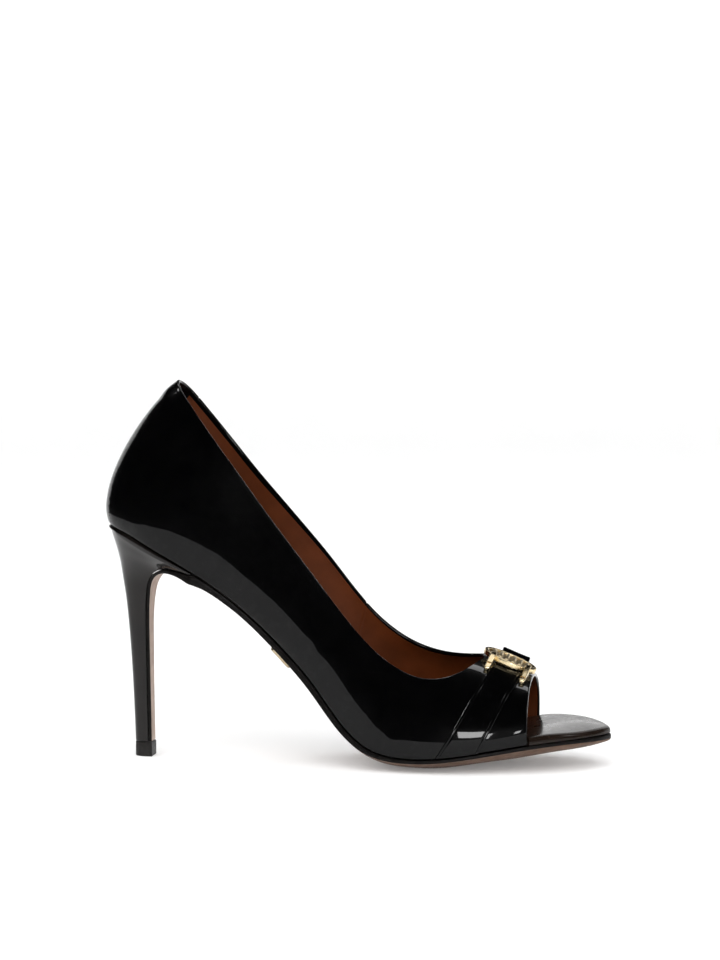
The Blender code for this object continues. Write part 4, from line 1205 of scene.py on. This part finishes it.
class Finish:
    """Principled material with procedural colour, roughness and relief at real sizes."""

    def __init__(self, name, **sockets):
        self.material = bpy.data.materials.new(name)
        self.material.use_nodes = True
        self.tree = self.material.node_tree
        self.shader = self.tree.nodes["Principled BSDF"]
        self.where = self.tree.nodes.new("ShaderNodeTexCoord").outputs["Object"]
        self.set(self.shader, **sockets)

    def set(self, node, **sockets):
        """Give sockets of a node their values, or link them to the outputs of other nodes."""
        for name, value in sockets.items():
            socket = node.inputs[name.replace("_", " ")]
            if isinstance(value, bpy.types.NodeSocket):
                self.tree.links.new(value, socket)
            else:
                socket.default_value = value

    def node(self, kind, **sockets):
        """A new shader node with these sockets."""
        made = self.tree.nodes.new("ShaderNode" + kind)
        self.set(made, **sockets)
        return made

    def noise(self, size, detail=3.0, stretch=None):
        """Noise whose features are about this many millimetres across."""
        where = self.where
        if stretch:
            where = self.node("Mapping", Vector=where, Scale=stretch).outputs["Vector"]
        return self.node("TexNoise", Vector=where, Scale=1.0 / (size * MM), Detail=detail).outputs["Fac"]

    def cells(self, size):
        """Pebble pattern of cells about this many millimetres across."""
        return self.node("TexVoronoi", Vector=self.where, Scale=1.0 / (size * MM)).outputs["Distance"]

    def ramp(self, pattern, dark, light, low=0.35, high=0.65):
        """Colour that runs from dark to light over a pattern."""
        node = self.node("ValToRGB", Fac=pattern)
        for element, position, tone in zip(node.color_ramp.elements, (low, high), (dark, light)):
            element.position = position
            element.color = (*tone, 1.0)
        return node.outputs["Color"]

    def colour(self, pattern, dark, light):
        """Base colour that runs from dark to light over a pattern."""
        self.set(self.shader, Base_Color=self.ramp(pattern, dark, light))

    def colour_along(self, first, second, start, end):
        """Base colour that goes over from one colour to another between two places along the shoe."""
        along = self.node("SeparateXYZ", Vector=self.where).outputs["X"]
        low, high = ((place - SHIFT[0]) * MM for place in (start, end))
        share = self.node("MapRange", Value=along, From_Min=low, From_Max=high)
        share.interpolation_type = "SMOOTHSTEP"
        mix = self.node("MixRGB", Fac=share.outputs["Result"], Color1=first, Color2=second)
        self.set(self.shader, Base_Color=mix.outputs["Color"])

    def roughness(self, pattern, smooth, rough, low=0.3, high=0.7):
        """Roughness that runs from smooth to rough over a pattern."""
        node = self.node("MapRange", Value=pattern, From_Min=low, From_Max=high, To_Min=smooth, To_Max=rough)
        self.set(self.shader, Roughness=node.outputs["Result"])

    def relief(self, *layers):
        """Bump from patterns with their heights in millimetres."""
        below = {}
        for pattern, height in layers:
            bump = self.node("Bump", Height=pattern, Distance=height * MM, **below)
            below = {"Normal": bump.outputs["Normal"]}
        self.set(self.shader, **below)
        if self.shader.inputs["Coat Weight"].default_value > 0.0:
            self.set(self.shader, Coat_Normal=below["Normal"])


def patent(name, dark, light, rough, waves, grain=0.0025, gloss=1.0, mirror=1.27, haze=0.03):
    """Patent leather: near black, under a clear mirror coat that is a little wavy."""
    made = Finish(name, Specular_IOR_Level=0.03, Coat_Weight=gloss, Coat_Roughness=haze, Coat_IOR=mirror)
    made.colour(made.noise(9.0), dark, light)
    made.roughness(made.noise(4.0), rough, rough + 0.12)
    made.relief((made.noise(16.0, 1.0), waves), (made.noise(2.2, 2.0), grain))
    return made.material


def lining_leather(name, dark, light):
    """Smooth tan leather with fine pores."""
    made = Finish(name, Specular_IOR_Level=0.2)
    made.colour(made.noise(14.0, 4.0), dark, light)
    made.roughness(made.noise(3.0), 0.42, 0.58)
    made.relief((made.noise(5.0), 0.05), (made.cells(0.55), 0.03))
    return made.material


def sole_leather():
    """Buffed sole leather with lengthwise fibre, its own colour on the heel flap and darkened under the foot
    as painted shade.
    """
    made = Finish("sole_leather_look", Specular_IOR_Level=0.25)
    fibre = made.noise(6.0, 6.0, (0.5, 1.0, 1.0))
    flap = made.ramp(fibre, (0.34, 0.25, 0.20), (0.45, 0.34, 0.28))
    # The tread colour is much darker than the flap's: painted shade over the underside of the sole
    shaded_tread = made.ramp(fibre, (0.090, 0.047, 0.026), (0.126, 0.0675, 0.039))
    made.colour_along(flap, shaded_tread, SOLE_SHADE_FROM_X, SOLE_SHADE_FULL_X)
    made.roughness(made.noise(2.5), 0.45, 0.62)
    made.relief((made.noise(0.5, 4.0, (0.25, 1.0, 1.0)), 0.03), (made.noise(5.0), 0.05))
    return made.material


def edge_paint():
    """Black edge dressing over leather, burnished."""
    made = Finish("edge_paint_look", Specular_IOR_Level=0.08)
    made.colour(made.noise(3.0), (0.0030, 0.0026, 0.0024), (0.0060, 0.0052, 0.0048))
    made.roughness(made.noise(2.0), 0.30, 0.45)
    made.relief((made.noise(0.7, 3.0), 0.015), (made.noise(4.0), 0.03))
    return made.material


def gold(name, dark, light, rough, brush=None):
    """Pale gold plating with fine polishing marks."""
    made = Finish(name, Metallic=1.0)
    made.colour(made.noise(3.0), dark, light)
    made.roughness(made.noise(0.8, 3.0, brush), rough, rough + 0.12)
    made.relief((made.noise(0.35, 2.0, brush), 0.002), (made.noise(4.0), 0.01))
    return made.material


def tip_rubber():
    """Moulded black wear piece."""
    made = Finish("tip_rubber_look", Specular_IOR_Level=0.25)
    made.colour(made.noise(1.5), (0.007, 0.006, 0.0055), (0.013, 0.0115, 0.011))
    made.roughness(made.noise(0.9), 0.38, 0.6)
    made.relief((made.cells(0.4), 0.015), (made.noise(1.5), 0.02))
    return made.material


# Stage: a round pale room in metres, and the bearings of what the patent mirrors in radians
ROOM_ROUND = 2.9
ROOM_CORNER = 0.9
ROOM_TALL = 3.0
ROOM_SECTORS = 90
ROOM_CURVE_STEPS = 13
ROOM_FLOOR_STEPS = 8
FLOOR_LEVEL = 0.001
ROOM_GLOW = 0.15
TABLE_FRONT = -0.50
TABLE_LEFT = -0.90
MIRROR_TALL = 0.75
PANEL_TALL = 1.1
MIRROR_AROUND = math.radians(122.0)
PANEL_FROM = math.radians(-160.0)

# Edges of the table that the patent shows, as points and directions
TABLE_EDGES = [
    ((0.0, TABLE_FRONT, 0.0), (0.0, 1.0, 0.0)),
    ((TABLE_LEFT, 0.0, 0.0), (1.0, 0.0, 0.0)),
    ((-TABLE_LEFT, 0.0, 0.0), (1.0, 0.0, 0.0)),
]


def shows_in_mirror(face):
    """Whether the patent shows this face: the table, the low wall behind it and a tall panel at the left."""
    middle = face.calc_center_median()
    around = math.atan2(middle.x, -middle.y)
    if abs(around) > MIRROR_AROUND:
        return middle.z < (PANEL_TALL if PANEL_FROM < around < 0.0 else MIRROR_TALL)
    return middle.y > TABLE_FRONT and abs(middle.x) < -TABLE_LEFT and middle.z < FLOOR_LEVEL


def room_form():
    """Floor that curves up into a round wall, cut along the edges of the table."""
    turn = quarter_turn(ROOM_CURVE_STEPS)
    flat = ROOM_ROUND - ROOM_CORNER
    wall = [PANEL_TALL, ROOM_TALL]
    floor = flat * np.linspace(0.0, 1.0, ROOM_FLOOR_STEPS + 1)[:-1]
    out = np.concatenate([floor, flat + ROOM_CORNER * np.sin(turn), np.full(len(wall), ROOM_ROUND)])
    up = np.concatenate([np.zeros_like(floor), ROOM_CORNER * (1.0 - np.cos(turn)), wall])
    around = np.linspace(0.0, 2.0 * math.pi, ROOM_SECTORS + 1)
    shell = Shell()
    x = np.outer(out, np.sin(around))
    y = np.outer(out, -np.cos(around))
    shell.skin(shell.add(xyz(x, y, up[:, None])))
    mesh = bpy.data.meshes.new("room")
    mesh.from_pydata(np.concatenate(shell.points).tolist(), [], shell.faces)
    form = bmesh.new()
    form.from_mesh(mesh)
    bpy.data.meshes.remove(mesh)
    bmesh.ops.remove_doubles(form, verts=form.verts, dist=MERGE_ROOM)
    for edge, facing in TABLE_EDGES:
        parts = form.verts[:] + form.edges[:] + form.faces[:]
        bmesh.ops.bisect_plane(form, geom=parts, plane_co=edge, plane_no=facing)
    return form


def room_pieces():
    """The part of the room that shows in the patent, and the rest, which doesn't."""
    made = Finish("room_paper", Specular_IOR_Level=0.0, Emission_Strength=ROOM_GLOW)
    made.colour(made.noise(60.0), (0.86, 0.86, 0.86), (0.88, 0.88, 0.88))
    made.roughness(made.noise(20.0), 0.85, 0.95)
    for name, mirrored in (("studio_table", True), ("studio_surround", False)):
        form = room_form()
        rest = [face for face in form.faces if shows_in_mirror(face) != mirrored]
        bmesh.ops.delete(form, geom=rest, context="FACES")
        mesh = bpy.data.meshes.new(name)
        form.to_mesh(mesh)
        form.free()
        mesh.shade_smooth()
        mesh.materials.append(made.material)
        item = bpy.data.objects.new(name, mesh)
        item.visible_glossy = mirrored
        bpy.context.scene.collection.objects.link(item)


# Soft boxes: bearing from the front to the toe and height in degrees, place, power, and what they show on
Lamp = namedtuple("Lamp", "name bearing height away wide tall power mirrored lights only")
GOLD = ("buckle_cast", "plaque_ribbed")
LAMPS = [Lamp(*row) for row in (
    ("top_soft", 180.0, 80.0, 2.6, 2.6, 2.6, 30.0, False, True, ()),
    ("front_soft", 4.0, 26.0, 2.7, 3.0, 1.8, 50.0, False, True, ()),
    ("wall_soft", 0.0, 60.0, 2.4, 3.0, 1.2, 24.0, False, True, ()),
    ("gold_soft", 10.0, 70.0, 2.2, 3.6, 3.0, 40.0, True, False, GOLD),
    ("back_card", 178.0, 56.0, 2.2, 1.6, 0.45, 9.0, True, False, ("upper_patent",)),
    ("insole_card", 180.0, 45.0, 2.2, 3.0, 2.8, 44.0, True, False, ("insole_patent",)),
    ("camera_box", 13.5, 4.0, 1.8, 0.25, 0.25, 5.0, True, False, ()),
    ("camera_dot", 24.0, 1.8, 1.8, 0.06, 0.12, 0.6, True, False, ()),
    ("left_box", -97.0, 40.0, 1.6, 0.5, 0.5, 60.0, True, False, ("strap_patent",)),
    ("left_dot", -101.0, 45.0, 1.6, 0.22, 0.12, 0.8, True, False, ("upper_patent",)),
    ("right_box", 80.0, 35.0, 1.8, 0.5, 0.5, 3.0, True, False, ()),
)]
LAMP_AIM = Vector((0.02, 0.0, 0.05))


def stand_off(item, aim, bearing, height, away):
    """Put a lamp or the camera off from a point, at a bearing and a height in degrees, facing it."""
    around = math.radians(bearing)
    rise = math.radians(height)
    flat = math.cos(rise)
    toward = Vector((math.sin(around) * flat, -math.cos(around) * flat, math.sin(rise)))
    item.location = aim + away * toward
    item.rotation_euler = toward.to_track_quat("Z", "Y").to_euler()
    bpy.context.scene.collection.objects.link(item)


def add_lamps():
    """Soft studio boxes; some only light the shoe and some only show in its gloss."""
    for lamp in LAMPS:
        data = bpy.data.lights.new(lamp.name, "AREA")
        data.shape = "RECTANGLE"
        data.size = lamp.wide
        data.size_y = lamp.tall
        data.energy = lamp.power
        item = bpy.data.objects.new(lamp.name, data)
        stand_off(item, LAMP_AIM, lamp.bearing, lamp.height, lamp.away)
        item.visible_glossy = lamp.mirrored
        item.visible_diffuse = lamp.lights
        if lamp.only:
            shown = bpy.data.collections.new(lamp.name + "_shows_on")
            for name in lamp.only:
                shown.objects.link(bpy.data.objects[name])
            item.light_linking.receiver_collection = shown


# Camera where the photograph was taken from, in degrees and metres, and the tone of the world
VIEW_BEARING = 9.0
VIEW_HEIGHT = 6.0
VIEW_DISTANCE = 1.6
VIEW_TARGET = Vector((0.0014, -0.00015, 0.08212))
VIEW_LENS = 138.25
VIEW_SENSOR = 36.0
WORLD_TONE = (0.004, 0.004, 0.004, 1.0)
SHIFT_PIXELS = 93.0
IMAGE_TALL = 960.0


def add_camera():
    """Camera at the photograph's angle, with the shift its framing has."""
    data = bpy.data.cameras.new("view")
    data.lens = VIEW_LENS
    data.sensor_width = VIEW_SENSOR
    data.shift_y = SHIFT_PIXELS / IMAGE_TALL
    item = bpy.data.objects.new("view", data)
    stand_off(item, VIEW_TARGET, VIEW_BEARING, VIEW_HEIGHT, VIEW_DISTANCE)
    bpy.context.scene.camera = item


def set_light():
    """Nearly black world round the studio, with colours shown as they are."""
    scene = bpy.context.scene
    scene.view_settings.view_transform = "Standard"
    world = bpy.data.worlds.new("room")
    world.use_nodes = True
    world.node_tree.nodes["Background"].inputs["Color"].default_value = WORLD_TONE
    scene.world = world


def dress():
    """Make every piece with its finish."""
    upper_black = patent("patent_look", (0.0004, 0.0004, 0.0005), (0.0008, 0.0008, 0.0009), 0.24, 0.045)
    strap_black = patent("strap_look", (0.0004, 0.0004, 0.0005), (0.0008, 0.0008, 0.0009), 0.24, 0.035)
    insole_black = patent("insole_look", (0.0085, 0.0052, 0.0036), (0.012, 0.0074, 0.0053), 0.24, 0.002,
                          grain=0.0004, gloss=0.48, mirror=1.4, haze=0.13)
    heel_black = patent("heel_look", (0.0032, 0.0024, 0.0020), (0.0052, 0.0040, 0.0034), 0.30, 0.020,
                        mirror=1.34)
    tan = lining_leather("lining_look", (0.066, 0.0148, 0.0028), (0.090, 0.0210, 0.0045))
    sock_tan = lining_leather("sock_look", (0.063, 0.0145, 0.0030), (0.087, 0.0208, 0.0048))
    upper_piece(upper_black, tan)
    strap_piece(strap_black)
    insole_piece(insole_black)
    sock_piece(sock_tan)
    outsole_piece(sole_leather(), edge_paint())
    heel_piece(heel_black)
    tip_piece(tip_rubber())
    buckle_piece(gold("gold_cast_look", (0.80, 0.64, 0.38), (0.88, 0.74, 0.48), 0.19))
    plaque_piece(gold("gold_plaque_look", (0.78, 0.62, 0.36), (0.87, 0.72, 0.46), 0.30))
    # The plate's gold is darker than the buckle's same gold: painted shade standing in for less light on the
    # plate
    plate_piece(gold("gold_plate_look", (0.43, 0.35, 0.235), (0.48, 0.40, 0.275), 0.20, (1.0, 0.2, 1.0)))


dress()
room_pieces()
add_lamps()
add_camera()
set_light()
